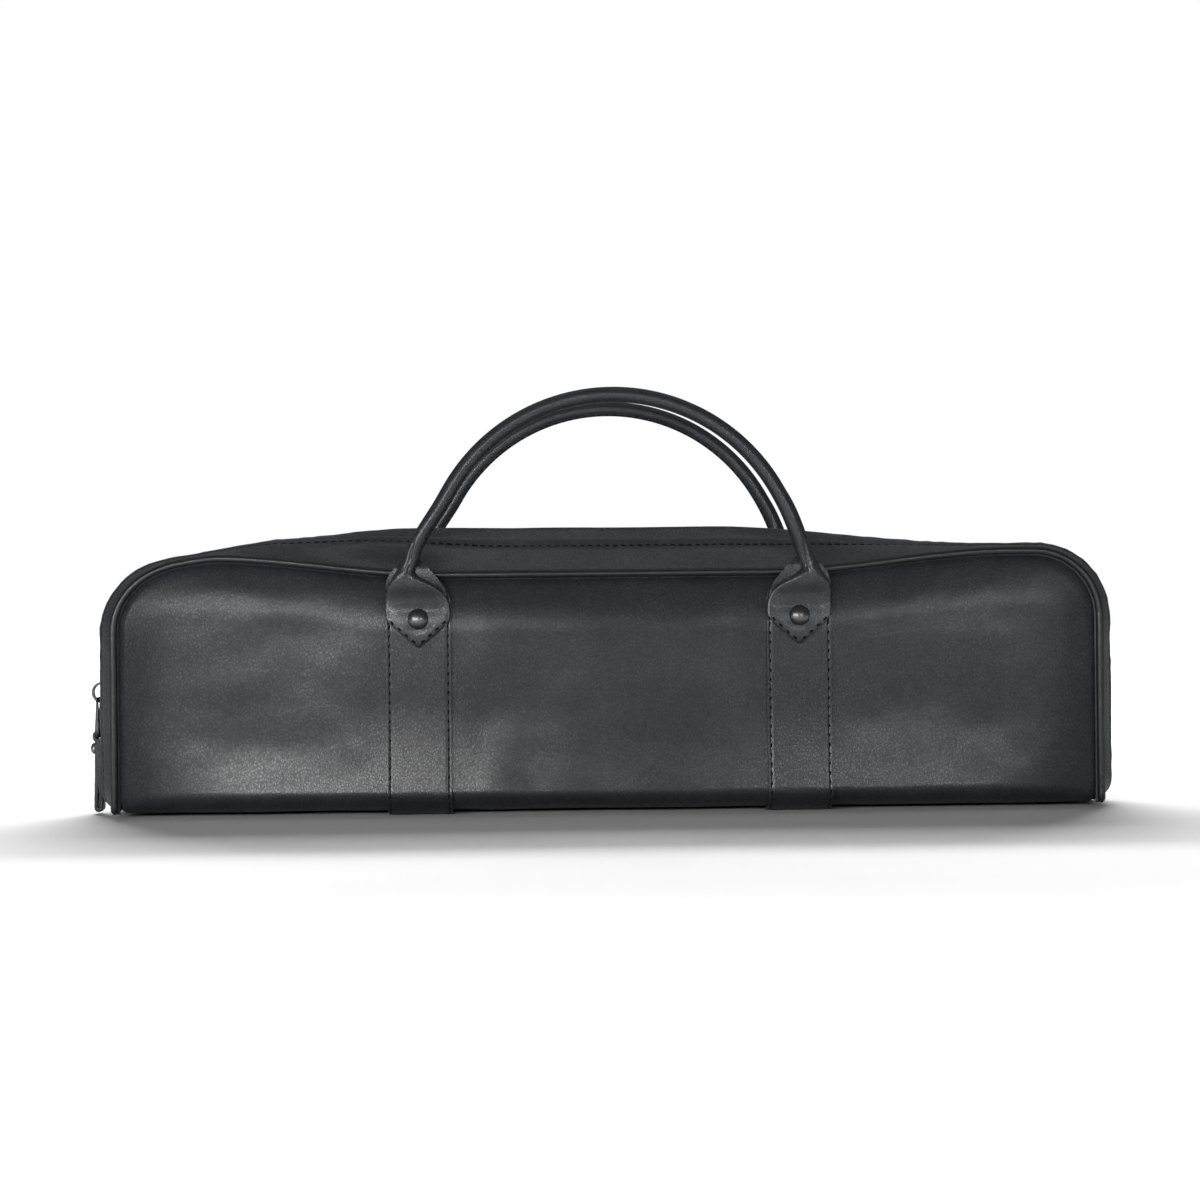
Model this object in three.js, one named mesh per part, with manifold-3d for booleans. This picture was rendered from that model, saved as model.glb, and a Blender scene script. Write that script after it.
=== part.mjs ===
// Soft leather flute bag: two halves that fold open at the bottom, closed by a zip that runs
// up one end, over the top and down the other end, with two rolled handles on riveted tabs.
// Millimetres, +Z up, +X along the bag, the front faces -Y. The bag stands on z = 0.

import * as THREE from 'three';
import { mergeVertices } from 'three/addons/utils/BufferGeometryUtils.js';
import Module from 'manifold-3d';

const wasm = await Module();
wasm.setup();

// Body of the bag
const panelLength = 408; // front panel between its two end seams
const endSwell = 11; // how far the leather beside the zip stands out past a panel's end
const seamDepth = 60; // front seam to back seam
const panelCrown = 3; // swell of a panel past its seams
const crownPower = 4; // how square the swell is along the bag
const panelTopHeight = 106.1; // panel edge near its upper corners
const panelCorner = 26; // radius of a panel's upper corners
const panelDip = 7.8; // how far the panel's top edge dips at mid length
const dipFlat = 68; // half length of the level stretch of that dip
const dipReach = 168; // half length at which the dip has run out
const ridgeLift = 5.4; // zip above the panel's edge near the upper corners
const ridgeCorner = 32; // radius of the zip's upper corners
const ridgeRise = 8.8; // how far the zip rises at mid length
const riseFlat = 45;
const riseReach = 160;
const bottomFold = 7; // outer radius of the leather's fold at the bottom edge
const straightFrom = 15; // height above which the two ends run straight up
const footTuck = 8.2; // how far the leather beside the zip draws in at the foot of an end

// Leather, lining, board and clearances
const clearance = 0.3; // between pieces that lie on each other
const panelLeather = 1.6;
const gussetLeather = 1.5;
const boardThickness = 2.5;
const liningThickness = 0.8;
const boardInset = 4; // board edge inside the panel edge
const liningInset = 5;
const strapThickness = 1.6;
const pipingRadius = 1.7;
const pipingSetback = 0.4; // piping centre behind the seam plane

// Zip
const zipSlotHalf = 5.8; // leather edge to the middle of the zip
const toothSpacing = 2.6;
const toothReach = 0.58; // a tooth's tip past the middle of the zip
const toothRoot = 1; // valley between teeth to the middle of the zip
const chainHalf = 2.6; // outer edge of a closed row of teeth
const chainRecess = 1; // row of teeth below the leather's outer face
const chainThickness = 2.4;
const tapeThickness = 0.8;
const tapeHalf = 16; // outer edge of the tape under the leather, past its row of stitches
const partedShift = 1.6; // how far each row stands aside below the slider
const stopHeight = 3.2;
const stopTopLeft = 15.7; // top of the two stops at the left end
const stopTopRight = 12.7; // top of the end stop at the right end

// Slider and pull
const sliderLength = 11.5;
const sliderCentre = 52; // height at rest
const wingThickness = 1.2;
const channelPlay = 0.3; // row of teeth to the slider's walls
const flangeWidth = 0.8;
const tapePlay = 0.4; // tape to the slider's flanges
const bailWidth = 2.4;
const bailLength = 9.6;
const bailHeight = 4.8;
const bailWire = 1.2;
const linkLength = 17.5;
const linkWidth = 9.6;
const linkWire = 1.3;
const linkThickness = 1.2;
const thongLength = 32; // from the link's lower bar to the tip
const thongWidth = 6.4;
const thongHalf = 1.35; // half of the folded thong's thickness
const thongEye = 1.25;
const thongWall = 1.2;
const pullRivetRadius = 2.5;
const pullRivetDome = 2;
const pullRivetShank = 0.8;
const pullRivetDrop = 5.2; // rivet below the link's lower bar

// Straps, tabs, rivets and handles
const tabOffset = 79; // middle of a tab from mid length
const strapWidth = 26.7;
const crossingDrop = 7.7; // where a strap starts to pass over the piping, below the panel's edge
const strapEndRise = 2.8; // top of a strap's pointed arch above the panel's edge
const strapEndLength = 20; // height over which the strap narrows to that top
const strapEndLean = 2.6; // how far the top lies outward of the strap's middle
const strapEndPower = 0.85; // how pointed the arch is; 1 is a full arch
const tabPointDrop = 11.5; // lowest point of a tab below its rivet
const tabThickness = 2.2;
const rivetDrop = 24.6; // rivet below the panel's edge
const rivetRadius = 4.25;
const rivetDome = 2.6;
const rivetShank = 1.5;
const washerRadius = 4;
const washerThickness = 0.8;
const neckOffset = 83; // a handle's neck from mid length
const neckDrop = 4.6; // neck below the panel's edge
const handlePlane = 38; // from the middle of the bag to a handle's middle plane
const handleRadius = 3.15;
const handleCoreRadius = 1.7;
const handleRise = 72.5; // middle of the roll at its highest point above its necks
const handleArc = 78; // radius of the handle's arch
const handleArcAngle = Math.PI / 3; // half the angle that the arch spans

// Sizes that follow from the ones above
const panelHalf = panelLength / 2;
const caseHalf = panelHalf + endSwell;
const ridgeHeight = panelTopHeight + ridgeLift;
const crossing = panelTopHeight - crossingDrop;
const strapEnd = panelTopHeight + strapEndRise;
const strapEndFoot = strapEnd - strapEndLength;
const rivetHeight = panelTopHeight - rivetDrop;
const tabPoint = rivetHeight - tabPointDrop;
const neckHeight = panelTopHeight - neckDrop;
const handleTop = neckHeight + handleRise;
const seamHalf = seamDepth / 2;
const baseLift = strapThickness + clearance; // the bottom leather lies on the straps' soles
const foldCentre = baseLift + bottomFold;
const foldLine = clearance / 2; // each half stops this far from the fold
const boardDepth = panelLeather + clearance;
const liningDepth = boardDepth + boardThickness + clearance;
const seamOffset = pipingRadius + clearance / 2; // seam line outside the panel's edge
const gussetEdge = seamHalf - pipingSetback - pipingRadius - clearance;
const underGusset = gussetLeather + clearance;
const wingDepth = chainRecess - channelPlay;
const tapeMiddle = (tapeHalf + zipSlotHalf) / 2;
const strapWing = seamHalf - pipingSetback + pipingRadius + clearance; // strap passing over the piping

const clamp = (value) => Math.min(1, Math.max(0, value));
const mix = (from, to, share) => from + (to - from) * share;

function smoothStep(from, to, value) {
  const share = clamp((value - from) / (to - from));
  return share * share * (3 - 2 * share);
}

const front = -1;
const back = 1;
const left = -1;
const right = 1;
const sideName = new Map([[front, 'front'], [back, 'back']]);
const endName = new Map([[left, 'left'], [right, 'right']]);

// Finishes

function leather() {
  return new THREE.MeshStandardMaterial({ color: 0x3b3d42, roughness: 0.48, metalness: 0 });
}

function liningCloth() {
  return new THREE.MeshStandardMaterial({ color: 0x1c1d20, roughness: 0.95, metalness: 0 });
}

function fibreBoard() {
  return new THREE.MeshStandardMaterial({ color: 0x6f6253, roughness: 0.9, metalness: 0 });
}

function zipTapeCloth() {
  return new THREE.MeshStandardMaterial({ color: 0x1f2023, roughness: 0.9, metalness: 0 });
}

function darkMetal() {
  return new THREE.MeshStandardMaterial({ color: 0x6a6c70, roughness: 0.35, metalness: 1 });
}

function blackEnamel() {
  return new THREE.MeshStandardMaterial({ color: 0x252527, roughness: 0.25, metalness: 0 });
}

function cottonCord() {
  return new THREE.MeshStandardMaterial({ color: 0xb9b2a2, roughness: 0.95, metalness: 0 });
}

const bag = new THREE.Group();

function addMesh(name, geometry, material, group = bag) {
  const mesh = new THREE.Mesh(geometry, material);
  mesh.name = name;
  group.add(mesh);
  return mesh;
}

// Solid building

function closedGeometry(points, triangles) {
  const normal = new THREE.Vector3();
  let volume = 0;
  for (const [a, b, c] of triangles) {
    volume += points[a].dot(normal.crossVectors(points[b], points[c]));
  }
  const facing = volume < 0 ? triangles.map(([a, b, c]) => [a, c, b]) : triangles;
  const geometry = new THREE.BufferGeometry().setFromPoints(points);
  geometry.setIndex(facing.flat());
  geometry.computeVertexNormals();
  return geometry;
}

// A sheet between two grids of points with the same rows and columns.
function slab(outer, inner) {
  const rows = outer.length;
  const columns = outer[0].length;
  const at = (face, i, j) => (face * rows + i) * columns + j;
  const triangles = [];
  const quad = (a, b, c, d) => triangles.push([a, b, c], [a, c, d]);
  for (let i = 0; i < rows - 1; i++) {
    for (let j = 0; j < columns - 1; j++) {
      quad(at(0, i, j), at(0, i + 1, j), at(0, i + 1, j + 1), at(0, i, j + 1));
      quad(at(1, i, j), at(1, i, j + 1), at(1, i + 1, j + 1), at(1, i + 1, j));
    }
    const last = columns - 1;
    quad(at(0, i + 1, 0), at(0, i, 0), at(1, i, 0), at(1, i + 1, 0));
    quad(at(0, i, last), at(0, i + 1, last), at(1, i + 1, last), at(1, i, last));
  }
  for (let j = 0; j < columns - 1; j++) {
    const last = rows - 1;
    quad(at(0, 0, j), at(0, 0, j + 1), at(1, 0, j + 1), at(1, 0, j));
    quad(at(0, last, j + 1), at(0, last, j), at(1, last, j), at(1, last, j + 1));
  }
  return closedGeometry([...outer.flat(), ...inner.flat()], triangles);
}

function solidOf(geometry) {
  const bare = geometry.clone();
  bare.deleteAttribute('normal');
  bare.deleteAttribute('uv');
  const merged = mergeVertices(bare);
  const vertProperties = new Float32Array(merged.attributes.position.array);
  const triVerts = new Uint32Array(merged.index.array);
  return new wasm.Manifold(new wasm.Mesh({ numProp: 3, vertProperties, triVerts }));
}

function geometryOf(solid) {
  const mesh = solid.getMesh();
  const geometry = new THREE.BufferGeometry();
  geometry.setAttribute('position', new THREE.BufferAttribute(new Float32Array(mesh.vertProperties), 3));
  geometry.setIndex([...mesh.triVerts]);
  geometry.computeVertexNormals();
  return geometry;
}

function joined(geometries) {
  return geometryOf(geometries.map(solidOf).reduce((whole, piece) => whole.add(piece)));
}

function cutBy(geometry, cutters) {
  const cut = cutters.map(solidOf).reduce((whole, cutter) => whole.subtract(cutter), solidOf(geometry));
  return geometryOf(cut);
}

const xAxis = new THREE.Vector3(1, 0, 0);
const yAxis = new THREE.Vector3(0, 1, 0);
const zAxis = new THREE.Vector3(0, 0, 1);

// An outline drawn in Y and Z, extruded along X from the place given.
function extrudeAlongX(shape, thickness, from) {
  const settings = { depth: thickness, bevelEnabled: false, curveSegments: 3 };
  const geometry = new THREE.ExtrudeGeometry(shape, settings);
  return geometry.applyMatrix4(new THREE.Matrix4().makeBasis(yAxis, zAxis, xAxis)).translate(from, 0, 0);
}

// An outline drawn in X and Z, extruded along Y, half to each side of its plane.
function extrudeAlongY(shape, width) {
  const geometry = new THREE.ExtrudeGeometry(shape, { depth: width, bevelEnabled: false, curveSegments: 4 });
  geometry.translate(0, 0, -width / 2);
  return geometry.applyMatrix4(new THREE.Matrix4().makeBasis(xAxis, zAxis, yAxis.clone().negate()));
}

function rectangle(low, high, bottom, top) {
  const corners = [[low, bottom], [high, bottom], [high, top], [low, top]];
  return new THREE.Shape(corners.map(([x, y]) => new THREE.Vector2(x, y)));
}

function polygon(radius, sides) {
  const corners = [];
  for (let i = 0; i < sides; i++) {
    const angle = (2 * Math.PI * (i + 1 / 2)) / sides;
    corners.push(new THREE.Vector2(radius * Math.cos(angle), radius * Math.sin(angle)));
  }
  return new THREE.Shape(corners);
}

// A path with one step from each of its points to the next.
class SteppedPath extends THREE.Curve {
  constructor(points) {
    super();
    this.points = points;
  }
  getPoint(share, target = new THREE.Vector3()) {
    const place = share * (this.points.length - 1);
    const step = Math.min(Math.floor(place), this.points.length - 2);
    return target.lerpVectors(this.points[step], this.points[step + 1], place - step);
  }
  getPointAt(share, target) {
    return this.getPoint(share, target);
  }
  getTangent(share, target = new THREE.Vector3()) {
    const last = this.points.length - 1;
    const step = Math.round(share * last);
    const before = this.points[Math.max(step - 1, 0)];
    return target.subVectors(this.points[Math.min(step + 1, last)], before).normalize();
  }
  getTangentAt(share, target) {
    return this.getTangent(share, target);
  }
  getSpacedPoints(steps) {
    return this.getPoints(steps);
  }
}

function tubeAlong(points, section) {
  const extrudePath = new SteppedPath(points);
  return new THREE.ExtrudeGeometry(section, { steps: points.length - 1, extrudePath });
}

// Seam and zip lines, seen from the front: up the left end, over the top, down the right end

const seamLine = {
  half: panelHalf + seamOffset,
  top: panelTopHeight + seamOffset,
  radius: panelCorner + seamOffset,
  lift: -panelDip,
  flat: dipFlat,
  reach: dipReach,
};
const zipLine = {
  half: caseHalf,
  top: ridgeHeight,
  radius: ridgeCorner,
  lift: ridgeRise,
  flat: riseFlat,
  reach: riseReach,
};
// At the foot of an end the seam runs straight down, and the zip line draws in.
const footShares = [
  { tuckShare: 1, heightShare: 0 },
  { tuckShare: 0.25, heightShare: 0.31 },
  { tuckShare: 0, heightShare: 1 },
];

function feetOf(tuck) {
  return footShares.map(({ tuckShare, heightShare }) => (
    { inset: tuck * tuckShare, height: mix(baseLift, straightFrom, heightShare) }));
}

const seamFeet = feetOf(0);
const zipFeet = feetOf(footTuck);

function humpAt(line, x) {
  return 1 - smoothStep(line.flat, line.reach, Math.abs(x));
}

function archLine(line, feet, cornerSteps, topShares) {
  const centreX = line.half - line.radius;
  const centreZ = line.top - line.radius;
  const half = feet.map(({ inset, height }) => ({ x: line.half - inset, z: height, swell: 1 }));
  for (let k = 0; k <= cornerSteps; k++) {
    const angle = (Math.PI / 2) * (k / cornerSteps);
    half.push({
      x: centreX + line.radius * Math.cos(angle),
      z: centreZ + line.radius * Math.sin(angle),
      swell: 1,
    });
  }
  for (const x of topShares.map((share) => centreX * (1 - share))) {
    const hump = humpAt(line, x);
    half.push({ x, z: line.top + line.lift * hump, swell: 1 - hump });
  }
  const mirrored = half.map(({ x, z, swell }) => ({ x: -x, z, swell }));
  return withNormals([...mirrored, ...half.slice(0, -1).reverse()]);
}

function withNormals(line) {
  let length = 0;
  return line.map((point, k) => {
    const before = line[Math.max(k - 1, 0)];
    const after = line[Math.min(k + 1, line.length - 1)];
    const span = Math.hypot(after.x - before.x, after.z - before.z);
    length += Math.hypot(point.x - before.x, point.z - before.z);
    return { ...point, nx: (before.z - after.z) / span, nz: (after.x - before.x) / span, length };
  });
}

const cornerSteps = 6;
const slopeShares = [0.16, 0.31, 0.46, 0.6]; // from a corner towards mid length, along the top
const stationShares = [...slopeShares, 0.76, 1];
const seamStations = archLine(seamLine, seamFeet, cornerSteps, stationShares);
const zipStations = archLine(zipLine, zipFeet, cornerSteps, stationShares);

// Panels: the front face and the half of the bottom that the same leather makes

function panelEdgeTop(x) {
  const centre = panelHalf - panelCorner;
  if (Math.abs(x) <= centre) return panelTopHeight - panelDip * humpAt(seamLine, x);
  const out = Math.min(Math.abs(x) - centre, panelCorner);
  return panelTopHeight - panelCorner + Math.sqrt(panelCorner ** 2 - out ** 2);
}

function crownAt(x, z) {
  const along = 1 - (Math.abs(x) / panelHalf) ** crownPower;
  const up = 2 * clamp((z - foldCentre) / (panelEdgeTop(x) - foldCentre)) - 1;
  return panelCrown * Math.max(along, 0) * (1 - up * up);
}

function panelColumns(inset, cornerColumns, middleShares) {
  const centreX = panelHalf - panelCorner;
  const radius = panelCorner - inset;
  const half = [];
  for (let k = 0; k <= cornerColumns; k++) {
    const angle = (Math.PI / 2) * (k / cornerColumns);
    half.push({
      x: centreX + radius * Math.cos(angle),
      top: panelTopHeight - panelCorner + radius * Math.sin(angle),
    });
  }
  for (const x of middleShares.map((share) => centreX * (1 - share))) {
    half.push({ x, top: panelEdgeTop(x) - inset });
  }
  const mirrored = half.map(({ x, top }) => ({ x: -x, top })).reverse();
  return [...half, { x: 0, top: panelEdgeTop(0) - inset }, ...mirrored];
}

// The bottom of a layer at some depth under the leather's outer face, from the fold line out.
function bottomProfile(x, depth, side) {
  const radius = bottomFold - depth;
  const foldY = seamHalf - bottomFold;
  const points = [new THREE.Vector3(x, side * foldLine, foldCentre - radius)];
  for (let k = 0; k < foldSteps; k++) {
    const angle = (Math.PI / 2) * (k / foldSteps);
    const y = foldY + radius * Math.sin(angle);
    points.push(new THREE.Vector3(x, side * y, foldCentre - radius * Math.cos(angle)));
  }
  return points;
}

// Points up a face whose distance from the middle of the bag is given by a function of x and z.
function faceProfile(x, from, to, steps, face, depth, side) {
  const points = [];
  for (let k = 0; k <= steps; k++) {
    const z = mix(from, to, k / steps);
    points.push(new THREE.Vector3(x, side * (face(x, z) - depth), z));
  }
  return points;
}

const innerShares = [0.3, 0.6]; // fewer columns do for the layers inside
const foldSteps = 3;
const panelRows = 4;
const panelFace = (x, z) => seamHalf + crownAt(x, z);

function panelLayer(columns, depth, thickness, side, faceSteps) {
  const layer = (d) => columns.map(({ x, top }) => [
    ...bottomProfile(x, d, side),
    ...faceProfile(x, foldCentre, top, faceSteps, panelFace, d, side),
  ]);
  return slab(layer(depth), layer(depth + thickness));
}

function boardLayer(columns, side) {
  const boardSteps = 3;
  const layer = (depth) => columns.map(({ x, top }) => (
    faceProfile(x, foldCentre, top, boardSteps, panelFace, depth, side)));
  return slab(layer(boardDepth), layer(boardDepth + boardThickness));
}

function addPanelLayers(side) {
  const name = sideName.get(side);
  const holes = (radius) => [left, right].map((end) => rivetHole(radius, side, end));
  const panel = panelLayer(panelColumns(0, 3, slopeShares), 0, panelLeather, side, panelRows);
  addMesh(`${name}_panel`, cutBy(panel, holes(rivetShank + clearance)), leather());
  const board = boardLayer(panelColumns(boardInset, 2, innerShares), side);
  addMesh(`${name}_board`, cutBy(board, holes(washerRadius + clearance)), fibreBoard());
  const lining = panelLayer(panelColumns(liningInset, 2, innerShares), liningDepth, liningThickness, side, 3);
  addMesh(`${name}_lining`, lining, liningCloth());
  addMesh(`${name}_base_board`, baseBoard(side), fibreBoard());
}

function baseBoard(side) {
  const width = seamHalf - bottomFold - foldLine;
  const board = new THREE.BoxGeometry(panelLength - 2 * boardInset, width, boardThickness);
  return board.translate(0, side * (foldLine + width / 2), baseLift + boardDepth + boardThickness / 2);
}

// Rivets stand square to the panel: a piece built along +Y from the leather's outer face at 0.
function placedAtRivet(geometry, side, end) {
  const x = end * tabOffset;
  const rise = panelFace(x, rivetHeight - rivetRadius) - panelFace(x, rivetHeight + rivetRadius);
  geometry.rotateX(Math.atan2(rise, 2 * rivetRadius));
  if (side === front) geometry.rotateZ(Math.PI);
  return geometry.translate(x, side * panelFace(x, rivetHeight), rivetHeight);
}

function rivetHole(radius, side, end) {
  const hole = new THREE.CylinderGeometry(radius, radius, seamHalf, rivetSides);
  return placedAtRivet(hole.rotateY(Math.PI / rivetSides), side, end);
}

const rivetSides = 8;

// Gusset: the strip between a panel's seam and the zip

function gussetPoint(k, y, depth, side) {
  const seam = seamStations[k];
  const zip = zipStations[k];
  const across = clamp((gussetEdge - y) / (gussetEdge - zipSlotHalf));
  const round = Math.sin((across * Math.PI) / 2);
  const share = mix(across, round, zip.swell);
  const nx = mix(seam.nx, zip.nx, share);
  const nz = mix(seam.nz, zip.nz, share);
  const span = Math.hypot(nx, nz);
  const x = mix(seam.x, zip.x, share) - (depth * nx) / span;
  return new THREE.Vector3(x, side * y, mix(seam.z, zip.z, share) - (depth * nz) / span);
}

function gussetLayer(stations, depth, thickness, acrossList, side) {
  const layer = (d) => stations.map((k) => acrossList.map((y) => gussetPoint(k, y, d, side)));
  return slab(layer(depth), layer(depth + thickness));
}

function addGusset(side) {
  const name = sideName.get(side);
  const leatherEdges = [gussetEdge, (gussetEdge + tapeHalf) / 2, tapeHalf, tapeMiddle, zipSlotHalf];
  const liningEdges = [gussetEdge - liningThickness, tapeHalf + clearance];
  const stations = zipStations.map((_, k) => k);
  const strip = gussetLayer(stations, 0, gussetLeather, leatherEdges, side);
  addMesh(`${name}_gusset`, strip, leather());
  const aboveFold = stations.slice(1, -1);
  const liningFace = underGusset + clearance;
  const lining = gussetLayer(aboveFold, liningFace, liningThickness, liningEdges, side);
  addMesh(`${name}_gusset_lining`, lining, liningCloth());
}

function addPiping(side) {
  const path = seamStations.map(({ x, z }) => new THREE.Vector3(x, side * (seamHalf - pipingSetback), z));
  addMesh(`${sideName.get(side)}_piping`, tubeAlong(path, polygon(pipingRadius, 6)), leather());
}

// Zip: tapes, rows of teeth and stops, along the zip line by its length

const tapeDepth = chainRecess + (chainThickness - tapeThickness) / 2;
const partTop = sliderCentre + sliderLength / 24;
const partBottom = sliderCentre - sliderLength / 2 + clearance;

function partingAt(x, z) {
  if (x > 0) return 0;
  return partedShift * clamp((partTop - z) / (partTop - partBottom));
}

// Across the zip the tape has four points: two under the gusset, at the slot's edge, beside the teeth.
function tapeRow(k, depth, side, aside) {
  const edges = [tapeHalf, tapeMiddle, zipSlotHalf, chainHalf + clearance + aside];
  return edges.map((y) => gussetPoint(k, y, depth, side));
}

// Below the slider the tape stands aside with its teeth, so the left end has two more rows.
function tapeLayer(depth, side) {
  const foot = zipFeet.length - 1;
  const parted = zipStations.slice(0, foot + 1).map((_, k) => tapeRow(k, depth, side, partedShift));
  const closed = zipStations.slice(foot + 1).map((_, k) => tapeRow(foot + 1 + k, depth, side, 0));
  const low = zipStations[foot].z;
  const high = zipStations[foot + 1].z;
  const between = (height, aside) => {
    const share = (height - low) / (high - low);
    const upper = tapeRow(foot + 1, depth, side, aside);
    return tapeRow(foot, depth, side, aside).map((point, n) => point.lerp(upper[n], share));
  };
  return [...parted, between(partBottom, partedShift), between(partTop, 0), ...closed];
}

function addZipTape(side) {
  const tape = slab(tapeLayer(tapeDepth, side), tapeLayer(tapeDepth + tapeThickness, side));
  addMesh(`${sideName.get(side)}_zip_tape`, tape, zipTapeCloth());
}

const fineSteps = 60;
const fineShares = Array.from({ length: fineSteps }, (_, k) => (k + 1) / fineSteps);
const chainLine = archLine(zipLine, zipFeet, 24, fineShares);
const chainLength = chainLine[chainLine.length - 1].length;

function chainAt(length) {
  let k = 1;
  while (k < chainLine.length - 1 && chainLine[k].length < length) k++;
  const before = chainLine[k - 1];
  const after = chainLine[k];
  const share = (length - before.length) / (after.length - before.length);
  const blend = (key) => mix(before[key], after[key], share);
  return { x: blend('x'), z: blend('z'), nx: blend('nx'), nz: blend('nz') };
}

// Length along the left end at a height on its straight stretch; the right end mirrors it.
function lengthAtHeight(height) {
  const foot = chainLine[zipFeet.length - 1];
  return foot.length + height - foot.z;
}

function chainPoint(length, y, depth, side) {
  const { x, z, nx, nz } = chainAt(length);
  const aside = side * (y + partingAt(x, z));
  return new THREE.Vector3(x - nx * depth, aside, z - nz * depth);
}

// One row: a spine with pointed teeth, whose valleys lie at whole pitches plus the phase.
function toothRow(from, to, phase, teethPerBay, side) {
  const valleys = [];
  for (let n = Math.ceil(from / toothSpacing - phase); (n + phase) * toothSpacing <= to; n++) {
    valleys.push((n + phase) * toothSpacing);
  }
  const last = valleys.length - 1;
  const tips = valleys.slice(1).map((length) => length - toothSpacing / 2);
  valleys[0] += clearance / 2;
  valleys[last] -= clearance / 2;
  const outline = [[valleys[0], toothRoot]];
  tips.forEach((tip, n) => outline.push([tip, -toothReach], [valleys[n + 1], toothRoot]));
  const spine = spineValleys(last, teethPerBay);
  spine.forEach((n) => outline.push([valleys[n], chainHalf]));
  return bentPrism(outline, toothRowFaces(last, spine), side);
}

// Valleys beside which the spine's straight edge has a point, from the last one back to the first.
function spineValleys(last, teethPerBay) {
  const chosen = [];
  for (let n = 0; n < last; n += teethPerBay) chosen.push(n);
  return [...chosen, last].reverse();
}

function toothRowFaces(last, spine) {
  const faces = [];
  for (let n = 0; n < last; n++) faces.push([2 * n, 2 * n + 1, 2 * n + 2]);
  const firstSpinePoint = 2 * last + 1;
  for (let k = 1; k < spine.length; k++) {
    const [to, from] = [spine[k - 1], spine[k]];
    const [toPoint, fromPoint] = [firstSpinePoint + k - 1, firstSpinePoint + k];
    faces.push([fromPoint, 2 * from, toPoint]);
    for (let n = from; n < to; n++) faces.push([toPoint, 2 * n, 2 * (n + 1)]);
  }
  return faces;
}

function bentPrism(outline, faces, side) {
  const count = outline.length;
  const layer = (depth) => outline.map(([length, y]) => chainPoint(length, y, depth, side));
  const points = [...layer(chainRecess), ...layer(chainRecess + chainThickness)];
  const triangles = [...faces, ...faces.map(([a, b, c]) => [a + count, c + count, b + count])];
  for (let k = 0; k < count; k++) {
    const next = (k + 1) % count;
    triangles.push([next, k, k + count], [next, k + count, next + count]);
  }
  return closedGeometry(points, triangles);
}

function addZipTeeth(side) {
  const name = sideName.get(side);
  const phase = side === front ? 0 : 1 / 2;
  const start = lengthAtHeight(stopTopLeft + clearance);
  const corner = lengthAtHeight(ridgeHeight - ridgeCorner);
  const split = (Math.floor(corner / toothSpacing - phase) + phase) * toothSpacing;
  const end = chainLength - lengthAtHeight(stopTopRight + clearance);
  addMesh(`${name}_zip_teeth_left`, toothRow(start, split, phase, 1, side), darkMetal());
  addMesh(`${name}_zip_teeth`, toothRow(split, end, phase, 5, side), darkMetal());
}

// A block clamped on the zip, from one length to another and across part of its width.
function chainBlock(from, to, yFrom, yTo, side) {
  const across = [yFrom, yTo];
  const layer = (depth) => [from, to].map((length) => (
    across.map((y) => chainPoint(length, y, depth, side))));
  return slab(layer(chainRecess), layer(chainRecess + chainThickness));
}

function addTopStop(side) {
  const from = lengthAtHeight(stopTopLeft) - stopHeight;
  const block = chainBlock(from, from + stopHeight, -toothReach, chainHalf, side);
  addMesh(`${sideName.get(side)}_zip_stop`, block, darkMetal());
}

function addEndStop() {
  const from = chainLength - lengthAtHeight(stopTopRight);
  const block = chainBlock(from, from + stopHeight, -chainHalf, chainHalf, back);
  addMesh('zip_end_stop', block, darkMetal());
}

// Slider: two wings joined by a post at the wide end, with a bail for the pull.
// Its group stands at the zip's face, with local +X pointing out of the left end.

function sliderFlange(edge, xFrom, thickness) {
  const narrow = chainHalf + channelPlay;
  const wide = narrow + partedShift;
  const half = sliderLength / 2;
  const corners = [
    [edge * wide, -half],
    [edge * (wide + flangeWidth), -half],
    [edge * (narrow + flangeWidth), half],
    [edge * narrow, half],
  ];
  const shape = new THREE.Shape(corners.map(([y, z]) => new THREE.Vector2(y, z)));
  return extrudeAlongX(shape, thickness, xFrom);
}

function sliderWing(xFrom) {
  const narrow = chainHalf + channelPlay + flangeWidth;
  const wide = narrow + partedShift;
  const half = sliderLength / 2;
  const nose = sliderLength / 8;
  const corners = [
    [wide - nose, -half],
    [wide, nose - half],
    [narrow, half - nose],
    [narrow - nose, half],
  ];
  const all = [...corners, ...corners.map(([y, z]) => [-y, z]).reverse()];
  return extrudeAlongX(new THREE.Shape(all.map(([y, z]) => new THREE.Vector2(y, z))), wingThickness, xFrom);
}

function sliderPost(xFrom, xTo) {
  const bottom = -sliderLength / 2;
  const height = sliderLength / 5;
  const broad = partedShift - toothReach - clearance;
  const tip = broad / 6;
  const corners = [[-broad, bottom], [broad, bottom], [tip, bottom + height], [-tip, bottom + height]];
  const shape = new THREE.Shape(corners.map(([y, z]) => new THREE.Vector2(y, z)));
  return extrudeAlongX(shape, xTo - xFrom, xFrom);
}

const wingOuterFace = wingThickness - wingDepth;
const bailClearHeight = bailHeight - bailWire;
const pivotOut = wingOuterFace + bailClearHeight / 2;
const barDrop = bailLength / 2 - bailWire - linkWire / 2 - clearance;
const pivotHeight = sliderCentre - barDrop;

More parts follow.
